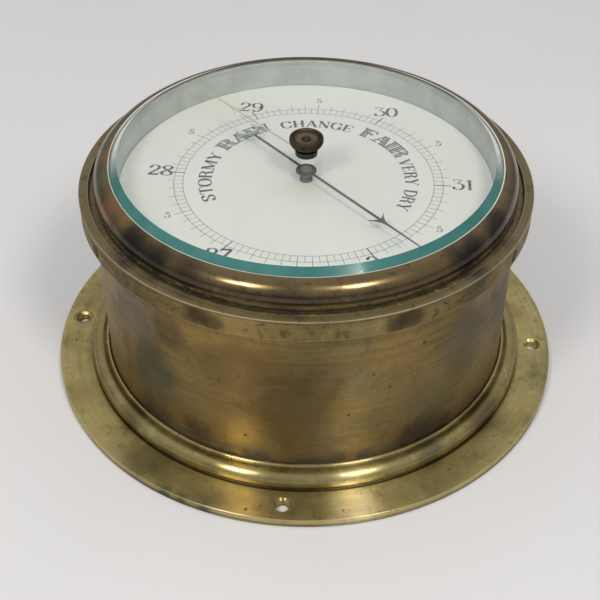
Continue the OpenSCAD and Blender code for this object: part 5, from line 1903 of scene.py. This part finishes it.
@dataclass
class Studio:
    """Floor, light and camera. The camera stands where the photograph was taken."""
    eye: Place = (0.02872, -0.36408, 0.32795)
    target: Place = (-0.00412, 0.02374, 0.0)
    roll_deg: float = 0.29
    lens_mm: float = 69.04
    sensor_mm: float = 36.0
    floor_half: float = 12000.0
    floor_z: float = -0.3
    floor_colour: Colour = (0.745, 0.735, 0.735)
    room: tuple[tuple[float, Colour], ...] = (  # height in the sky, from 0 to 1, and its tone
        (0.0, (0.20, 0.20, 0.205)), (0.3, (0.42, 0.42, 0.43)), (0.8, (0.66, 0.665, 0.67)))
    lamps: tuple[SoftBox, ...] = (SoftBox("left_box", (-0.352, -0.577, 0.737), 4.1),
                                  SoftBox("right_box", (0.362, -0.490, 0.793), 4.2))
    lit: Place = (0.0, 0.0, 0.05)

    def floor(self) -> bpy.types.Object:
        """A wide, gently uneven sheet of paper under the flange.

        Returns:
            The floor.
        """
        steps = 24
        u = np.linspace(-self.floor_half, self.floor_half, steps + 1)
        x, y = np.meshgrid(u, u, indexing="ij")
        verts = np.stack([x, y, np.full_like(x, self.floor_z)], axis=-1).reshape(-1, 3)
        floor = make_mesh("floor", verts, grid_faces(steps + 1, steps + 1, False, False)[:, ::-1])
        tree = Tree("paper")
        fibre = tree.noise(tree.place(), 9.0, 4.0, 0.6)
        colour = tree.mix(fibre.ramp(0.3, 0.7) * 0.35, self.floor_colour,
                          tone(self.floor_colour, 0.95))
        shader = tree.node("ShaderNodeBsdfPrincipled", inputs={
            "Base Color": colour, "Roughness": 0.9, "Specular IOR Level": 0.2})
        floor.data.materials.append(tree.surface(shader.outputs[0]))
        return floor

    def world(self) -> None:
        """Soft light from all round, brighter overhead than at the horizon."""
        world = bpy.data.worlds.new("soft_room")
        bpy.context.scene.world = world
        world.use_nodes = True
        nodes, links = world.node_tree.nodes, world.node_tree.links
        nodes.clear()
        coord = nodes.new("ShaderNodeTexCoord")
        parts = nodes.new("ShaderNodeSeparateXYZ")
        ramp = nodes.new("ShaderNodeValToRGB")
        light = nodes.new("ShaderNodeBackground")
        out = nodes.new("ShaderNodeOutputWorld")
        links.new(coord.outputs["Generated"], parts.inputs[0])
        links.new(parts.outputs[2], ramp.inputs[0])
        links.new(ramp.outputs[0], light.inputs[0])
        links.new(light.outputs[0], out.inputs[0])
        stops = ramp.color_ramp.elements
        stops.new(self.room[1][0])
        for stop, (place, colour) in zip(stops, self.room):
            stop.position, stop.color = place, (*colour, 1.0)
        light.inputs[1].default_value = 1.0

    def lamp(self, box: SoftBox) -> None:
        """Hangs a soft box so that it faces the lit point.

        Args:
            box: the lamp.
        """
        data = bpy.data.lights.new(box.name, "AREA")
        data.shape, (data.size, data.size_y) = "RECTANGLE", box.size
        data.energy, data.color = box.watts, box.colour
        lamp = bpy.data.objects.new(box.name, data)
        bpy.context.scene.collection.objects.link(lamp)
        offset = np.array(box.towards) / np.linalg.norm(box.towards) * box.distance
        lamp.location = offset + np.array(self.lit)
        lamp.rotation_euler = look_matrix(-offset).to_euler()

    def camera(self) -> None:
        """The camera at the photograph's place, with its lens and slight roll."""
        from mathutils import Matrix, Vector
        data = bpy.data.cameras.new("camera")
        data.lens, data.sensor_width, data.sensor_fit = self.lens_mm, self.sensor_mm, "HORIZONTAL"
        data.clip_start, data.clip_end = 0.01, 20.0
        camera = bpy.data.objects.new("camera", data)
        bpy.context.scene.collection.objects.link(camera)
        turn = look_matrix(np.array(self.target) - np.array(self.eye))
        turn = turn @ Matrix.Rotation(math.radians(self.roll_deg), 3, "Z")
        camera.matrix_world = Matrix.Translation(Vector(self.eye)) @ turn.to_4x4()
        bpy.context.scene.camera = camera

    def build(self) -> None:
        """Sets up the whole studio."""
        self.floor()
        self.world()
        for box in self.lamps:
            self.lamp(box)
        self.camera()
        bpy.context.scene.view_settings.view_transform = "Standard"


def look_matrix(direction: np.ndarray) -> Any:
    """The rotation whose -Z points along a direction, with +Y as near to up as it can be."""
    from mathutils import Vector
    return Vector(direction.tolist()).to_track_quat("-Z", "Y").to_matrix()


def node_slots(record: dict[str, Any]) -> dict[str, str]:
    """The record's material slot of each node."""
    return {part["node"]: part["material_slot"] for part in record["subparts"]}


def main() -> None:
    """Builds the dressed barometer in order."""
    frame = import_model()
    Studio().build()
    log.info("studio ready")
    CarriedOver().dress(frame["nodes"], node_slots(frame["record"]))
    log.info("carried-over nodes dressed")
    flange = Flange()
    flange.dress(flange.build())
    log.info("flange made")
    case = Case()
    case.dress(*case.build())
    log.info("drum and collar made")
    bezel = Bezel()
    bezel.dress(bezel.build())
    log.info("bezel made")
    window = Window()
    window.dress(*window.build())
    log.info("glass and sleeve made")
    dial = DialPrint()
    dial.dress(dial.build())
    log.info("dial print made")
    knob = Knob()
    knob.dress(knob.build())
    log.info("knob made")


if __name__ == "__main__":
    main()
